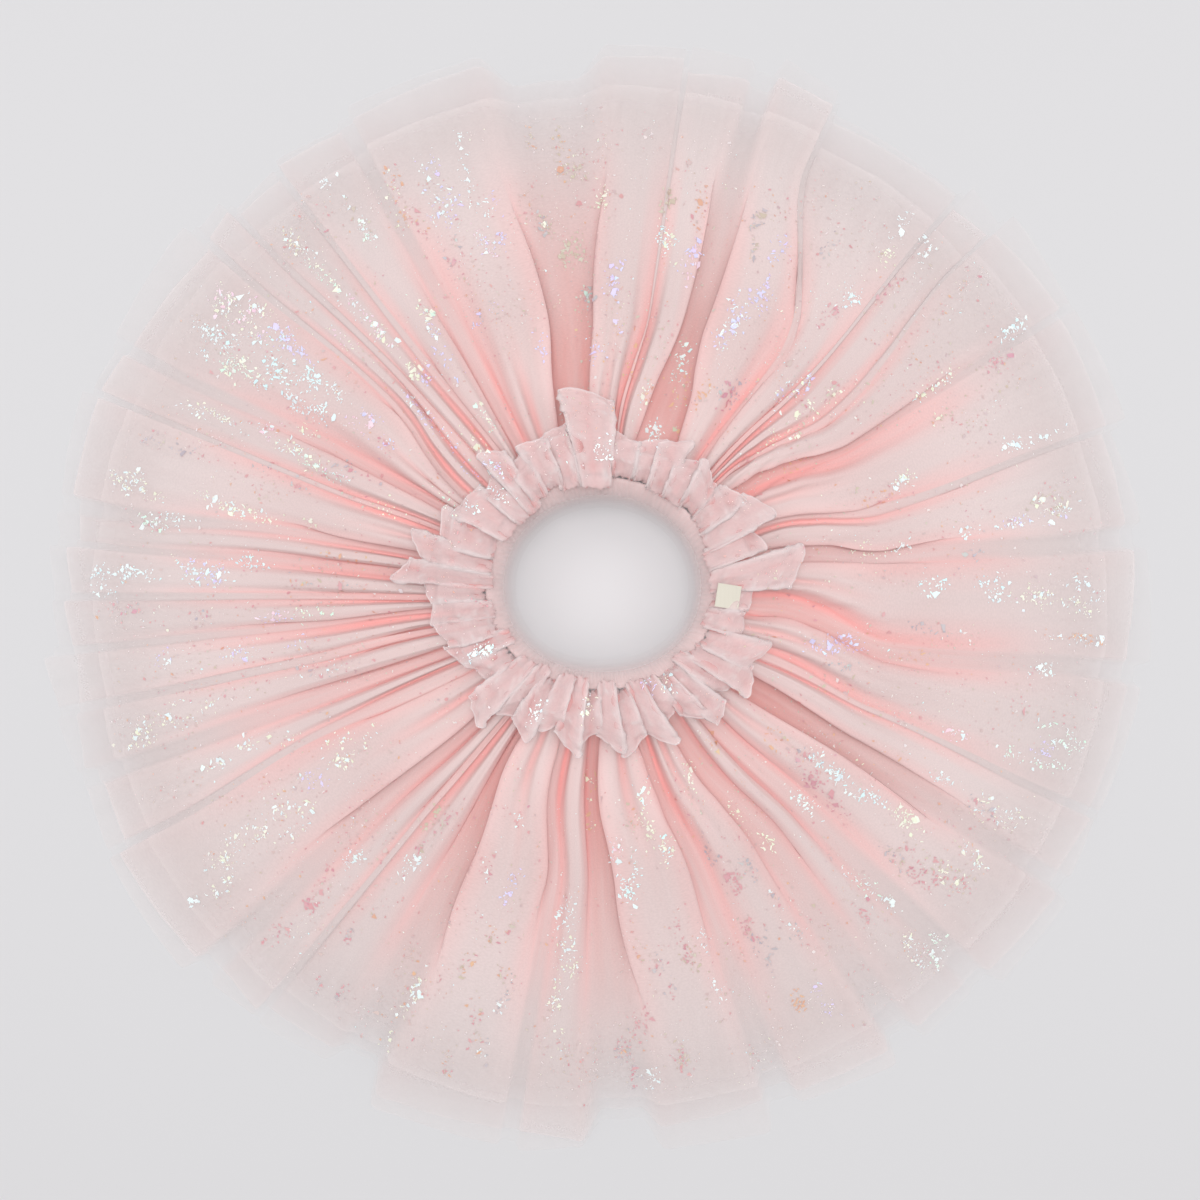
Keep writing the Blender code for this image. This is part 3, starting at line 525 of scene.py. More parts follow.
def tulleMaterial(name, look):
    # nylon net: soft and matt, pale where one layer lies open, coral where many layers crowd together; painted shade
    # darkens the crevices and open valleys, and painted highlights run along the fold edges
    material = startMaterial(name)
    marks = {
        mark: addNode(material, "ShaderNodeAttribute", attribute_name=mark).outputs["Fac"]
        for mark in ("crowdingAndShade", "valleyShade", "sheer", "highlightAndPaleness")
    }
    place = addNode(material, "ShaderNodeUVMap", uv_map="clothMap")
    streak = clothNoise(material, place, netting["thread"], 2.0, 0.6)
    grain = clothNoise(material, place, netting["cell"], 1.0, 0.5)
    # coral of the crowded layers, with painted shade in the crevices
    body = blended(material, marks["crowdingAndShade"], look["crest"], look["crevice"])
    # painted shade of the open valleys
    shaded = blended(material, marks["valleyShade"], body, look["valley"])
    # whitish painted highlight along the fold edges, and paleness towards the hem
    lined = blended(material, marks["highlightAndPaleness"], shaded, look["highlightAndPaleTone"])
    streakShare = addNode(
        material, "ShaderNodeMapRange", {"From Min": 0.30, "From Max": 0.75, "To Min": 0.0, "To Max": look["streak"]},
        {"Value": streak}
    )
    streaked = blended(material, streakShare.outputs["Result"], lined, look["streakTone"])
    thread = addNode(
        material, "ShaderNodeMapRange",
        {"From Min": 0.3, "From Max": 0.7, "To Min": 1.0 - netting["grain"], "To Max": 1.0 + netting["grain"]},
        {"Value": grain}
    )
    alpha = addNode(
        material, "ShaderNodeMath", {}, {0: marks["sheer"], 1: thread.outputs["Result"]},
        operation="MULTIPLY", use_clamp=True
    )
    face = addNode(material, "ShaderNodeNewGeometry")
    raised = addNode(
        material, "ShaderNodeVectorMath", {1: (0.0, 0.0, netting["through"])}, {0: face.outputs["Normal"]},
        operation="ADD"
    )
    facing = addNode(material, "ShaderNodeVectorMath", {}, {0: raised.outputs["Vector"]}, operation="NORMALIZE")
    return addShader(
        material,
        {"Roughness": 0.72, "IOR": 1.53, "Specular IOR Level": 0.2, "Sheen Weight": 0.12, "Sheen Roughness": 0.5},
        {"Base Color": streaked, "Alpha": alpha.outputs["Value"], "Normal": facing.outputs["Vector"]}
    )


# Tulle layers, the top one first. Each rise row: share of the way out, crest, valley floor, lap
# Each cover row: share of the way out, cover of the cloth, strength of the coral and painted shade in the crevices,
# strength of the painted shade in the valleys, paleness

outerTulle = {
    "hem": 0.2810,
    "rise": (
        (0.00, 0.0440, 0.0415, 0.0), (0.05, 0.0465, 0.0375, 0.3), (0.14, 0.0480, 0.0320, 0.9),
        (0.32, 0.0440, 0.0300, 1.0), (0.54, 0.0350, 0.0268, 0.85), (0.77, 0.0240, 0.0184, 0.50),
        (1.00, 0.0130, 0.0098, 0.1),
    ),
    "rows": 74,
    "across": 4,
    "seed": 11,
    "gathers": (71, 97, 118, 149, 171),
    "uneven": 0.004,
    "notch": 0.015,
    "bands": 0.05,
    "lowest": 0.0050,
    "cover": (
        (0.00, 1.00, 1.00, 0.70, 0.0), (0.12, 1.00, 1.00, 0.80, 0.0), (0.25, 1.00, 0.95, 0.85, 0.0),
        (0.45, 0.92, 0.82, 0.80, 0.15), (0.70, 0.82, 0.84, 0.65, 0.46), (0.86, 0.58, 0.62, 0.45, 0.80),
        (1.00, 0.16, 0.05, 0.00, 1.00),
    ),
    "cloth": (1.85, 0.225),
    # the crevice tone is coral with painted shade, the valley tone painted shade, the whitish tone a painted
    # highlight and the paleness towards the hem
    "look": {
        "crest": "#DFC5C3", "crevice": "#F9A29E", "valley": "#E3A5A0", "highlightAndPaleTone": "#FEF2F1",
        "streak": 0.30, "streakTone": "#E9D9D8",
    },
}
middleTulle = {
    "hem": 0.2985,
    "rise": (
        (0.00, 0.0372, 0.0360, 0.0), (0.10, 0.0315, 0.0262, 0.0), (0.32, 0.0246, 0.0196, 0.0),
        (0.58, 0.0166, 0.0120, 0.0), (0.80, 0.0094, 0.0060, 0.0), (1.00, 0.0040, 0.0024, 0.0),
    ),
    "rows": 44,
    "across": 3,
    "seed": 23,
    "gathers": (63, 88, 121),
    "uneven": 0.016,
    "notch": 0.040,
    "bands": 0.09,
    "lowest": 0.0016,
    "cover": (
        (0.00, 1.00, 1.00, 0.6, 0.0), (0.40, 0.80, 0.7, 0.5, 0.0), (0.70, 0.50, 0.5, 0.35, 0.15),
        (0.88, 0.34, 0.35, 0.2, 0.35), (1.00, 0.20, 0.2, 0.1, 0.60),
    ),
    "cloth": (1.40, 0.245),
    # the crevice tone is coral with painted shade, the valley tone painted shade, the whitish tone a painted
    # highlight and the paleness towards the hem
    "look": {
        "crest": "#FFE5E3", "crevice": "#FFB6B2", "valley": "#F6CECB", "highlightAndPaleTone": "#FDF5F4",
        "streak": 0.30, "streakTone": "#FCEDEC",
    },
}
underTulle = {
    "hem": 0.3080,
    "rise": (
        (0.00, 0.0300, 0.0290, 0.0), (0.10, 0.0232, 0.0190, 0.0), (0.32, 0.0140, 0.0104, 0.0),
        (0.58, 0.0040, 0.0020, 0.0), (0.72, 0.0012, 0.0006, 0.0), (1.00, 0.0012, 0.0006, 0.0),
    ),
    "rows": 36,
    "across": 3,
    "seed": 37,
    "gathers": (59, 83, 127),
    "uneven": 0.018,
    "notch": 0.055,
    "bands": 0.07,
    "lowest": 0.0004,
    "cover": (
        (0.00, 1.00, 0.8, 0.5, 0.0), (0.50, 0.55, 0.5, 0.3, 0.3), (0.80, 0.32, 0.3, 0.2, 0.5),
        (1.00, 0.15, 0.2, 0.1, 0.7),
    ),
    "cloth": (1.30, 0.255),
    # the crevice tone is coral with painted shade, the valley tone painted shade, the whitish tone a painted
    # highlight and the paleness towards the hem
    "look": {
        "crest": "#FFEBE9", "crevice": "#FFC8C5", "valley": "#F8DEDB", "highlightAndPaleTone": "#FCF9F8",
        "streak": 0.35, "streakTone": "#FBF3F2",
    },
}


def makeLayer(name, layer):
    points, facts = layerPoints(layer)
    strength = curveThrough(layer["cover"], facts[:, 0, 3])
    values = {
        "crowdingAndShade": np.clip(facts[:, :, 0], 0.0, 1.0) * strength[:, 2][:, None],
        "valleyShade": np.clip(facts[:, :, 1], 0.0, 1.0) * strength[:, 3][:, None],
        "sheer": np.clip(
            strength[:, 1][:, None] + 0.10 * np.clip(facts[:, :, 2], 0.0, 1.0)
            + layer["bands"] * np.clip(facts[:, :, 4], -1.5, 1.5) * smooth(0.35, 0.75, facts[:, :, 3]), 0.04, 1.0),
        # whitish painted highlight along the fold edges, and paleness towards the hem
        "highlightAndPaleness": np.maximum(0.8 * np.clip(facts[:, :, 2], 0.0, 1.0), strength[:, 4][:, None]),
    }
    values["sheer"][-1] += 0.03  # the raw edge catches a little more light
    return clothMesh(name, points, values, layer["cloth"], tulleMaterial(name + "Net", layer["look"]))


outerSheet = makeLayer("outerTulleSheet", outerTulle)
middleSheet = makeLayer("middleTulleSheet", middleTulle)
underSheet = makeLayer("underTulleSheet", underTulle)
for piece, node, slotName in (
    (outerSheet, "outer_tulle", "foil_tulle"),
    (middleSheet, "middle_tulle", "plain_tulle"),
    (underSheet, "under_tulle", "pale_tulle"),
):
    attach(piece, "root")
    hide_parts(node)
print("tulle layers made")


# Frill: a doubled strip of tulle, its folded edge outwards, crowded into flaps that lie over one another

frill = {
    # share of the way to the edge, how far out and how high a flap is there, how far out and high a valley is
    "bends": (
        (0.00, 0.00, 0.0000, 0.00, 0.0000), (0.25, 0.06, 0.0075, 0.02, 0.0066), (0.50, 0.42, 0.0150, 0.26, 0.0098),
        (0.75, 0.78, 0.0128, 0.52, 0.0088), (1.00, 1.00, 0.0085, 0.70, 0.0060),
    ),
    "foot": 0.0491,
    "rows": 32,
    "across": 3,
    "doubling": 0.0009,  # between the strip's two layers
    "bulge": 0.0062,  # a flap leans in over the opening by up to 1.6 times this
    "tuckDrop": 0.0014,  # how far its tucked edge lies below it
    "crack": 0.0019,  # depth between two flaps
    "tilt": 0.0022,  # rise of the side on top
    "gathers": (97, 139, 181),
    "gatherHeight": 0.0006,
    "crumple": (95.0, 210.0, 0.0019),  # large and small crumples to a metre, and their height
    "sheer": (0.46, 0.36, 0.78),  # cover of the upper layer, of the lower one and of the folded edge
    # how far a flap's side runs past the middle of a gap, in degrees: on top of a side that goes under, meeting
    # one that is on top as well, and going under
    "laps": (1.9, 0.3, 0.8),
    "tucks": (2.9, 2.4),  # how far it turns back beneath itself, for a side on top and for one that goes under
    "cloth": (1.30, 0.085),
    "seed": 5,
    # the crevice tone is coral with painted shade, the valley tone painted shade, the whitish tone a painted
    # highlight
    "look": {
        "crest": "#F6D6D6", "crevice": "#FFA29E", "valley": "#F8C8C6", "highlightAndPaleTone": "#FFF6F6",
        "streak": 0.30, "streakTone": "#F7E6E6",
    },
}


def frillRow(bend, bulges):
    # columns: azimuth, radius past the waist, height, coral and painted shade in the tucks and cracks, painted
    # highlight of the edges
    out, up, valleyOut, valleyUp = bend[1:]
    near = np.sin(np.pi * np.clip(bend[0] / 0.50, 0.0, 1.0)) * frill["bulge"]
    spread = smooth(0.0, 0.30, bend[0])  # the flaps meet from a little above the casing on
    count = len(flaps)
    (lapOver, lapMeet, lapUnder), (tuckOver, tuckUnder) = frill["laps"], frill["tucks"]
    row = []
    for i, flap in enumerate(flaps):
        before, after = flaps[i - 1], flaps[(i + 1) % count]
        turnBefore = -360.0 if i == 0 else 0.0
        turnAfter = 360.0 if i == count - 1 else 0.0
        start = 0.5 * (before["middle"] + before["half"] + turnBefore + flap["middle"] - flap["half"])
        end = 0.5 * (flap["middle"] + flap["half"] + after["middle"] - after["half"] + turnAfter)
        lean, lift, reach = flap["lean"] * out, flap["lift"] / 1000.0, flap["reach"] / 1000.0
        highLeft, highRight = flap["over"] < 0, flap["over"] > 0
        lapLeft = lapOver if highLeft and before["over"] < 0 else (lapMeet if highLeft else lapUnder)
        lapRight = lapOver if highRight and after["over"] > 0 else (lapMeet if highRight else lapUnder)
        left = (start - lapLeft) * spread + (flap["middle"] - flap["half"]) * (1.0 - spread)
        right = (end + lapRight) * spread + (flap["middle"] + flap["half"]) * (1.0 - spread)
        width = right - left
        tilt = frill["tilt"] * flap["over"] * spread
        # painted shade near the foot of the frill, where it meets the casing
        base = 0.20 * (1.0 - smooth(0.05, 0.45, bend[0]))
        pull = near * bulges[i]
        crest = up + lift * out
        # the tucked sides carry painted shade, the edges a whitish painted highlight
        for azimuth, drop, reachShare, crowdingAndShade, highlightAndPaleness in (
            (left + (tuckOver if highLeft else tuckUnder) * spread, frill["tuckDrop"], 0.86, 0.7, 0.0),
            (left, 0.0005, 0.97 + flap["slant"], 0.12, 1.0),
            (left + 0.13 * width, 0.0001, 1.00 + flap["slant"], 0.03, 0.45),
            (left + 0.50 * width, -0.0004, 1.00, 0.05, 0.0),
            (right - 0.13 * width, 0.0001, 1.00 - flap["slant"], 0.03, 0.45),
            (right, 0.0005, 0.97 - flap["slant"], 0.12, 1.0),
            (right - (tuckOver if highRight else tuckUnder) * spread, frill["tuckDrop"], 0.86, 0.7, 0.0),
        ):
            side = np.clip(2.0 * (azimuth - left) / width - 1.0, -1.0, 1.0)
            height = crest - drop * min(1.0, spread + 0.2) + tilt * side
            bulge = pull * (1.0 - 0.35 * side * side)
            row.append((azimuth + lean, reach * out * reachShare - bulge, max(0.0, height), max(crowdingAndShade, base), highlightAndPaleness))
        reach = min(flap["reach"], after["reach"]) / 1000.0
        boundary = 0.5 * (right + end)
        height = max(0.0, min(valleyUp, crest - frill["crack"] * spread))
        # the crack between two flaps gets the deepest painted shade
        row.append((boundary + lean, reach * valleyOut, height, 0.9, 0.0))
    return np.array(row)


def makeFrill():
    draw = np.random.default_rng(frill["seed"])
    bulges = draw.uniform(0.0, 1.6, len(flaps))
    shares = np.linspace(0.0, 1.0, frill["rows"])
    rings, facts = [], []
    for bend in curveThrough(frill["bends"], shares):
        row = frillRow(bend, bulges)
        fine = closedCurve(row, np.array([math.radians(1.0) * 0.085, 1.0, 1.0]), frill["across"], 0.70)
        rings.append(polar(fine[:, 0], waistRadius(fine[:, 0]) + fine[:, 1], frill["foot"] + fine[:, 2]))
        facts.append(fine[:, 3:5])
    rings, facts = np.array(rings), np.array(facts)
    normals = gridNormals(rings)
    turn = np.arctan2(rings[:, :, 1], rings[:, :, 0])
    along = shares[:, None]
    # gathers that run up from the elastic, and crumples with sharp ridges
    gathers = np.zeros_like(turn)
    for waves in frill["gathers"]:
        gathers += np.sin(turn * waves + draw.uniform(0, 6.28) + 1.5 * np.sin(along * 4.0 + turn * 5.0))
    largeScale, smallScale, height = frill["crumple"]
    crumple = np.empty_like(turn)
    for row, ring in enumerate(rings):
        for column, spot in enumerate(ring.tolist()):
            large = noise.noise(Vector(spot) * largeScale)
            small = noise.noise(Vector(spot) * smallScale)
            crumple[row, column] = 1.0 - 2.2 * abs(large) - 0.9 * abs(small)
    lift = crumple * height * smooth(0.10, 0.5, along) + gathers * frill["gatherHeight"] * (1.1 - along)
    # painted shade in the crumples' hollows, whitish painted highlights on their ridges and on the gathers' ridges
    facts[:, :, 0] += 0.22 * smooth(0.1, -0.6, crumple)
    facts[:, :, 1] += 0.85 * smooth(0.72, 0.95, crumple) + 0.6 * smooth(1.5, 2.5, gathers) * (1.0 - along)
    rings = rings + normals * lift[:, :, None]
    grow = smooth(0.0, 0.25, shares)[:, None, None]
    lower = rings - normals * frill["doubling"] * grow
    edge = rings[-1] + (rings[-1] - rings[-2]) * 0.06 - normals[-1] * frill["doubling"] * 0.5
    points = np.concatenate([rings, edge[None], lower[::-1]])
    crowdingAndShade = np.concatenate([facts[:, :, 0], facts[-1:, :, 0], facts[::-1, :, 0]])
    highlightAndPaleness = np.concatenate([facts[:, :, 1], facts[-1:, :, 1], facts[::-1, :, 1]])
    rows = frill["rows"]
    upperCover, lowerCover, edgeCover = frill["sheer"]
    sheer = np.full(crowdingAndShade.shape, lowerCover)
    sheer[:rows] = upperCover
    sheer[rows - 1:rows + 2] = edgeCover
    # whitish painted highlight along the folded edge
    highlightAndPaleness[rows - 1:rows + 2] = 0.9
    values = {
        "crowdingAndShade": np.clip(crowdingAndShade, 0, 1) * 0.8, "valleyShade": np.zeros(crowdingAndShade.shape), "sheer": sheer,
        "highlightAndPaleness": np.clip(highlightAndPaleness, 0, 1) * 0.8,
    }
    return clothMesh("frillSheet", points, values, frill["cloth"], tulleMaterial("frillSheetNet", frill["look"]))


frillSheet = makeFrill()
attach(frillSheet, "root")
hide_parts("header_ruffle")
print("frill made")


# Casing: a tube of tulle drawn up by its elastic, with a row of stitches near each edge

casing = {
    "gathers": 132,
    "depth": 0.0003,
    "flare": 0.0150,  # how far the foot of the tube stands in from its top
    "stitches": (0.16, 0.84),  # how high each row of stitches runs, as a share
    "pinch": 0.45,
    "sheer": (0.02, 0.68),  # cover at the foot, and how much more there is at the top
    "columns": 792,
    "rows": 14,
    "cloth": (0.42, 0.062),
    # the crevice tone is painted shade in the gathers' hollows
    "look": {
        "crest": "#FFE6E5", "crevice": "#FDC9C6", "valley": "#F0CBC8", "highlightAndPaleTone": "#FDECEB",
        "streak": 0.25, "streakTone": "#FBE6E5",
    },
}


def makeCasing():
    azimuth = np.linspace(0.0, 360.0, casing["columns"], endpoint=False)
    turn = np.radians(azimuth)
    wander = 0.9 * np.sin(turn * 9.0) + 0.6 * np.sin(turn * 17.0 + 1.0)
    half = 0.5 * skirt["casingWall"] - 0.0003
    # the section of the tube, as (across the wall, up), once round from its foot
    up = np.concatenate([np.linspace(0.0, 1.0, casing["rows"]), np.linspace(1.0, 0.0, casing["rows"])[1:]])
    side = np.concatenate([np.full(casing["rows"], -1.0), np.full(casing["rows"] - 1, 1.0)])
    side[casing["rows"] - 1] = 0.0
    side[0] = side[-1] = -0.1
    rows, crowdingAndShade, sheer = [], [], []
    for height, across in zip(up, side):
        wave = np.sin(turn * casing["gathers"] + wander + 0.8 * np.sin(height * 5.0))
        pinch = casing["pinch"] if min(abs(height - line) for line in casing["stitches"]) < 0.05 else 1.0
        wall = across * half * (0.75 + 0.25 * pinch)
        flare = casing["flare"] * (1.0 - height) ** 1.1
        radius = waistRadius(azimuth) - 0.0007 - flare + wall + wave * casing["depth"] * pinch * 0.6
        level = skirt["casingBottom"] + 0.0004 + (skirt["casingTop"] - skirt["casingBottom"] - 0.0006) * height
        rows.append(polar(azimuth, radius, np.full_like(azimuth, level)))
        # painted shade in the hollows of the gathers, as each side of the wall sees them
        crowdingAndShade.append(0.04 + 0.14 * (0.5 - 0.5 * wave * np.sign(-across or 1.0)))
        sheer.append(np.full_like(azimuth, casing["sheer"][0] + casing["sheer"][1] * smooth(0.05, 1.0, height)))
    points, crowdingAndShade = np.array(rows), np.array(crowdingAndShade)
    values = {
        "crowdingAndShade": crowdingAndShade, "valleyShade": np.zeros(crowdingAndShade.shape), "sheer": np.array(sheer),
        "highlightAndPaleness": np.zeros(crowdingAndShade.shape),
    }
    return clothMesh("casingTube", points, values, casing["cloth"], tulleMaterial("casingTubeNet", casing["look"]))


casingTube = makeCasing()
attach(casingTube, "root")
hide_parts("waist_casing")
print("casing made")


# Label: a bare square of woven cotton tape

label = {
    "side": 0.0125,
    "thick": 0.0009,
    "at": (0.0662, 0.0019, 0.0650),
    "turn": -9.0,
    "cream": "#DDD8CC",
    "rib": "#CFC9BC",
    "ribs": ((0.0005, "Y"), (0.0007, "X")),  # how far apart, and which way they follow one another
    "bevel": 0.0003,
    "bow": 0.0005,  # the tape bows a little between its sewn edge and its free one
    "twist": 0.0003,
}


def tapeMaterial():
    # woven cotton tape: matt, with fine raised ribs
    material = startMaterial("wovenCottonTape")
    place = addNode(material, "ShaderNodeTexCoord")
    # at a scale of 1 a wave is 0.314 m long
    ribs, cross = [
        addNode(
            material, "ShaderNodeTexWave", {"Scale": 0.314 / pitch, "Distortion": 0.6, "Detail": 1.0},
            {"Vector": place.outputs["Object"]}, wave_type="BANDS", bands_direction=direction
        ) for pitch, direction in label["ribs"]
    ]
    weave = addNode(
        material, "ShaderNodeMath", {}, {0: ribs.outputs["Fac"], 1: cross.outputs["Fac"]}, operation="MULTIPLY"
    )
    tint = blended(material, weave.outputs["Value"], label["rib"], label["cream"])
    bump = addNode(
        material, "ShaderNodeBump", {"Strength": 0.5, "Distance": 0.0002}, {"Height": weave.outputs["Value"]}
    )
    return addShader(
        material, {"Roughness": 0.85, "IOR": 1.53, "Specular IOR Level": 0.2},
        {"Base Color": tint, "Normal": bump.outputs["Normal"]}
    )


def makeLabel():
    bpy.ops.object.select_all(action="DESELECT")
    bpy.ops.mesh.primitive_cube_add(size=1.0, location=(0.0, 0.0, 0.0))
    tape = bpy.context.active_object
    tape.name = "labelTape"
    tape.scale = (label["side"], label["side"], label["thick"])
    bpy.ops.object.transform_apply(location=False, rotation=False, scale=True)
    bpy.ops.object.mode_set(mode="EDIT")
    bpy.ops.mesh.select_all(action="SELECT")
    bpy.ops.mesh.subdivide(number_cuts=10)
    bpy.ops.object.mode_set(mode="OBJECT")
    bevel = tape.modifiers.new("softEdge", "BEVEL")
    bevel.width = label["bevel"]
    bevel.segments = 3
    bpy.ops.object.modifier_apply(modifier="softEdge")
    for vertex in tape.data.vertices:
        x, y = vertex.co.x / label["side"], vertex.co.y / label["side"]
        vertex.co.z += label["bow"] * (0.25 - x * x) - label["twist"] * y * x
    tape.location = tuple(np.array(label["at"]) + np.array(skirt["centring"]))
    tape.rotation_euler = (0.0, 0.0, math.radians(label["turn"]))
    bpy.ops.object.transform_apply(location=True, rotation=True, scale=False)
    bpy.ops.object.shade_smooth()
    tape.data.materials.append(tapeMaterial())
    return tape


labelTape = makeLabel()
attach(labelTape, "root")
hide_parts("label")
print("label made")


# Foil: small torn flakes of iridescent film pressed onto the top tulle and the frill

foil = {
    "seed": 91,
    "lift": 0.00035,
    "pixel": 0.00056,  # metres on the floor for a pixel of the picture
    "perPatch": 2.7,  # shards for each one of the list
    "perClump": 6,
    "clumpSpread": (7.5, 3.6),  # pixels outwards and round
    "shard": 0.00056,
    "sizeSpread": (0.50, 0.45),  # of the shards and of the specks
    "largest": 0.0020,
    "stretch": (0.25, 0.9),
    "ragged": (0.5, 1.7),
    "tilt": 0.10,
    "steepest": 0.25,  # the least that a face under a shard points up
    "speckClusters": 1000,
    "specksEach": 16,
    "speckSpread": (15.0, 9.0),
    # bright specks are painted glints, dull specks painted flakes turned away from the light
    "brightShare": 0.35,
    "brightSpeck": (0.00028, "CAwwwwwwg"),  # size and tones
    "dullSpeck": (0.00040, "wggvrrgvgOR"),
    "reach": (490.0, 505.0),  # the farthest cluster and the farthest speck
    "frillReach": 215,  # pixels, a little more than the frill takes in
}


def treeOf(piece):
    mesh = piece.data
    spots = np.empty(len(mesh.vertices) * 3, np.float32)
    mesh.vertices.foreach_get("co", spots)
    return BVHTree.FromPolygons(
        [Vector(spot) for spot in spots.reshape(-1, 3).tolist()], [tuple(p.vertices) for p in mesh.polygons]
    )


def shardsOf(draw):
    # where each shard goes in the picture, as azimuth, pixels from the middle, size in metres and tone letter
    shards = []
    for middle, half, near, far, count, tones in foilPatches:
        clumps = max(2, int(count / foil["perClump"]))
        centres = [
            (middle + half * draw.uniform(-1, 1) * 0.9, draw.uniform(near, far)) for each in range(clumps)
        ]
        for each in range(int(count * foil["perPatch"])):
            azimuth, place = centres[draw.integers(clumps)]
            away = place + draw.normal(0.0, foil["clumpSpread"][0])
            azimuth += math.degrees(draw.normal(0.0, foil["clumpSpread"][1]) / max(away, 60.0))
            grow = 1.1 if tones[0] in "ROVG" else 1.0
            size = foil["shard"] * math.exp(draw.normal(0.0, foil["sizeSpread"][0])) * grow
            shards.append((azimuth, away, min(size, foil["largest"]), tones[draw.integers(len(tones))]))
    for each in range(foil["speckClusters"]):
        azimuth, place = draw.uniform(0, 360), foil["reach"][0] * math.sqrt(draw.uniform(0.09, 1.0))
        typical, tones = foil["brightSpeck" if draw.uniform() < foil["brightShare"] else "dullSpeck"]
        for speck in range(int(foil["specksEach"] * draw.uniform(0.3, 1.7))):
            away = place + draw.normal(0.0, foil["speckSpread"][0])
            turn = azimuth + math.degrees(draw.normal(0.0, foil["speckSpread"][1]) / max(away, 60.0))
            size = typical * math.exp(draw.normal(0.0, foil["sizeSpread"][1]))
            shards.append((turn, min(away, foil["reach"][1]), size, tones[draw.integers(len(tones))]))
    return shards


def makeFoil(name, cloth, others, shards, draw):
    # a shard lies where the line of sight first meets the cloth, if no other piece is in the way
    tree = treeOf(cloth)
    blockers = [treeOf(other) for other in others]
    eye = Vector((studio["aim"][0], studio["aim"][1], studio["cameraHeight"]))
    points, faces, tones = [], [], []
    for azimuth, away, size, tone in shards:
        turn, reach = math.radians(azimuth), away * foil["pixel"]
        spot = Vector((reach * math.cos(turn), reach * math.sin(turn), 0.0)) + Vector(skirt["centring"])
        ray = (spot - eye).normalized()
        place, normal, face, distance = tree.ray_cast(eye, ray)
        if place is None:
            continue
        if any((hit := blocker.ray_cast(eye, ray)[3]) is not None and hit < distance for blocker in blockers):
            continue
        if normal.z < 0.0:
            normal = -normal
        if normal.z < foil["steepest"]:
            continue
        normal = (normal + Vector(draw.normal(0.0, foil["tilt"], 3))).normalized()
        first = normal.orthogonal().normalized()
        second = normal.cross(first)
        spin, sides = draw.uniform(0, 6.28), int(draw.integers(3, 7))
        stretch = draw.uniform(*foil["stretch"])
        corners = []
        for corner in range(sides):
            angle = spin + 6.2832 * (corner + draw.uniform(-0.3, 0.3)) / sides
            radius = size * draw.uniform(*foil["ragged"])
            x, y = math.cos(angle), stretch * math.sin(angle)
            across = x * math.cos(spin) - y * math.sin(spin)
            along = x * math.sin(spin) + y * math.cos(spin)
            corners.append(place + normal * foil["lift"] + (first * across + second * along) * radius)
        start = len(points)
        points.extend(tuple(corner) for corner in corners)
        faces.append(tuple(range(start, start + sides)))
        tones.append(linear(foilTones[tone][draw.integers(2)]))
    mesh = bpy.data.meshes.new(name)
    mesh.from_pydata(points, [], faces)
    colours = mesh.color_attributes.new("foilTone", "FLOAT_COLOR", "CORNER")
    spread = np.repeat(np.array(tones), [len(face) for face in faces], axis=0)
    colours.data.foreach_set("color", spread.astype(np.float32).ravel())
    mesh.materials.append(foilMaterial(name))
    mesh.update()
    print(name, "flakes", len(faces))
    return addObject(name, mesh)


def foilMaterial(name):
    # iridescent polyester film: smooth and bright, each flake with a painted reflection for a tone, pale for a flake
    # that catches the light, dull for one turned away
    material = startMaterial("iridescentFilm" + name)
    tone = addNode(material, "ShaderNodeVertexColor", layer_name="foilTone")
    return addShader(
        material, {"Roughness": 0.28, "IOR": 1.64, "Specular IOR Level": 0.6, "Thin Film Thickness": 380.0},
        {"Base Color": tone.outputs["Color"]}
    )


studio = {
    "floorSize": 8.0,
    "sensor": 36.0,
    "floorWidth": 0.672,  # what the picture's side takes in on the floor
    "cameraHeight": 1.05,
    "aim": (-0.0002, -0.0017),
    "floor": "#DAD9DB",
    # place, size across, power in watts
    "softboxes": {
        "softboxOverhead": ((0.0, 0.15, 2.3), 1.1, 20.4),
        "softboxLeft": ((-1.1, 0.30, 1.0), 0.9, 2.8),
        "softboxRight": ((1.1, 0.20, 1.0), 0.9, 2.8),
    },
    "skylight": 0.57,
    "spot": ((0.001, 0.004, 1.6), 46.0, 6.8),  # place, power in watts, cone in degrees
    "spotSize": 0.08,
}

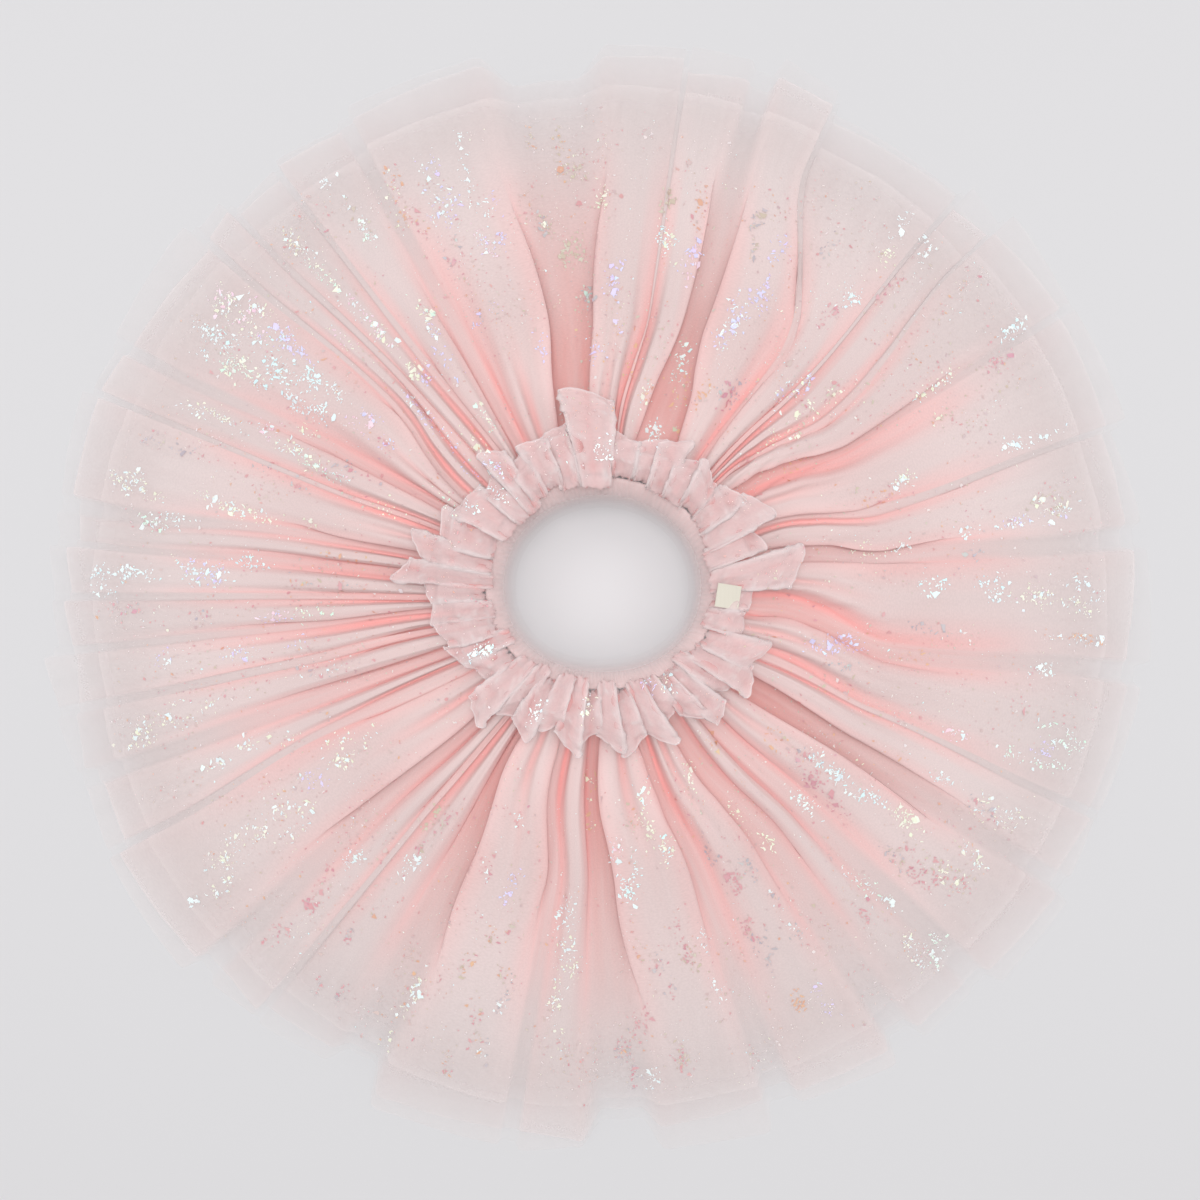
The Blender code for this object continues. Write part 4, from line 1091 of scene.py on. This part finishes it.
draw = np.random.default_rng(foil["seed"])
shards = shardsOf(draw)
skirtFoil = makeFoil("skirtFoil", outerSheet, [frillSheet, labelTape], shards, draw)
nearShards = [shard for shard in shards if shard[1] < foil["frillReach"]]
frillFoil = makeFoil("frillFoil", frillSheet, [labelTape], nearShards, draw)
for piece, slotName in ((skirtFoil, "foil_tulle"), (frillFoil, "frill_tulle")):
    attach(piece, "root")
print("foil made")


# Studio

def makeStudio():
    bpy.ops.object.select_all(action="DESELECT")
    bpy.ops.mesh.primitive_plane_add(size=studio["floorSize"], location=(0.0, 0.0, 0.0))
    floor = bpy.context.active_object
    floor.name = "studioFloor"
    board = startMaterial("paintedBoard")
    addShader(board, {"Base Color": linear(studio["floor"]), "Roughness": 0.9, "Specular IOR Level": 0.1})
    floor.data.materials.append(board)
    camera = bpy.data.cameras.new("overhead")
    camera.sensor_width = studio["sensor"]
    camera.lens = studio["sensor"] * studio["cameraHeight"] / studio["floorWidth"]
    camera.dof.use_dof = False
    holder = addObject("overhead", camera)
    holder.location = (studio["aim"][0], studio["aim"][1], studio["cameraHeight"])
    bpy.context.scene.camera = holder
    world = bpy.data.worlds.new("studioLight")
    world.use_nodes = True
    world.node_tree.nodes["Background"].inputs["Color"].default_value = (1.0, 1.0, 1.0, 1.0)
    world.node_tree.nodes["Background"].inputs["Strength"].default_value = studio["skylight"]
    bpy.context.scene.world = world
    for name, (place, size, power) in studio["softboxes"].items():
        light = bpy.data.lights.new(name, "AREA")
        light.size = size
        light.energy = power
        lamp = addObject(name, light)
        lamp.location = place
        lamp.rotation_euler = (Vector((0.0, 0.0, 0.0)) - Vector(place)).to_track_quat("-Z", "Y").to_euler()
    # a weak spot straight above lights the floor inside the waist
    spot = bpy.data.lights.new("spotMiddle", "SPOT")
    place, power, cone = studio["spot"]
    spot.energy, spot.spot_size, spot.spot_blend = power, math.radians(cone), 1.0
    spot.shadow_soft_size = studio["spotSize"]
    addObject("spotMiddle", spot).location = place
    scene = bpy.context.scene
    scene.view_settings.view_transform = "Standard"
    scene.cycles.transparent_max_bounces = 32
    scene.cycles.diffuse_bounces = 4


makeStudio()
print("studio ready")
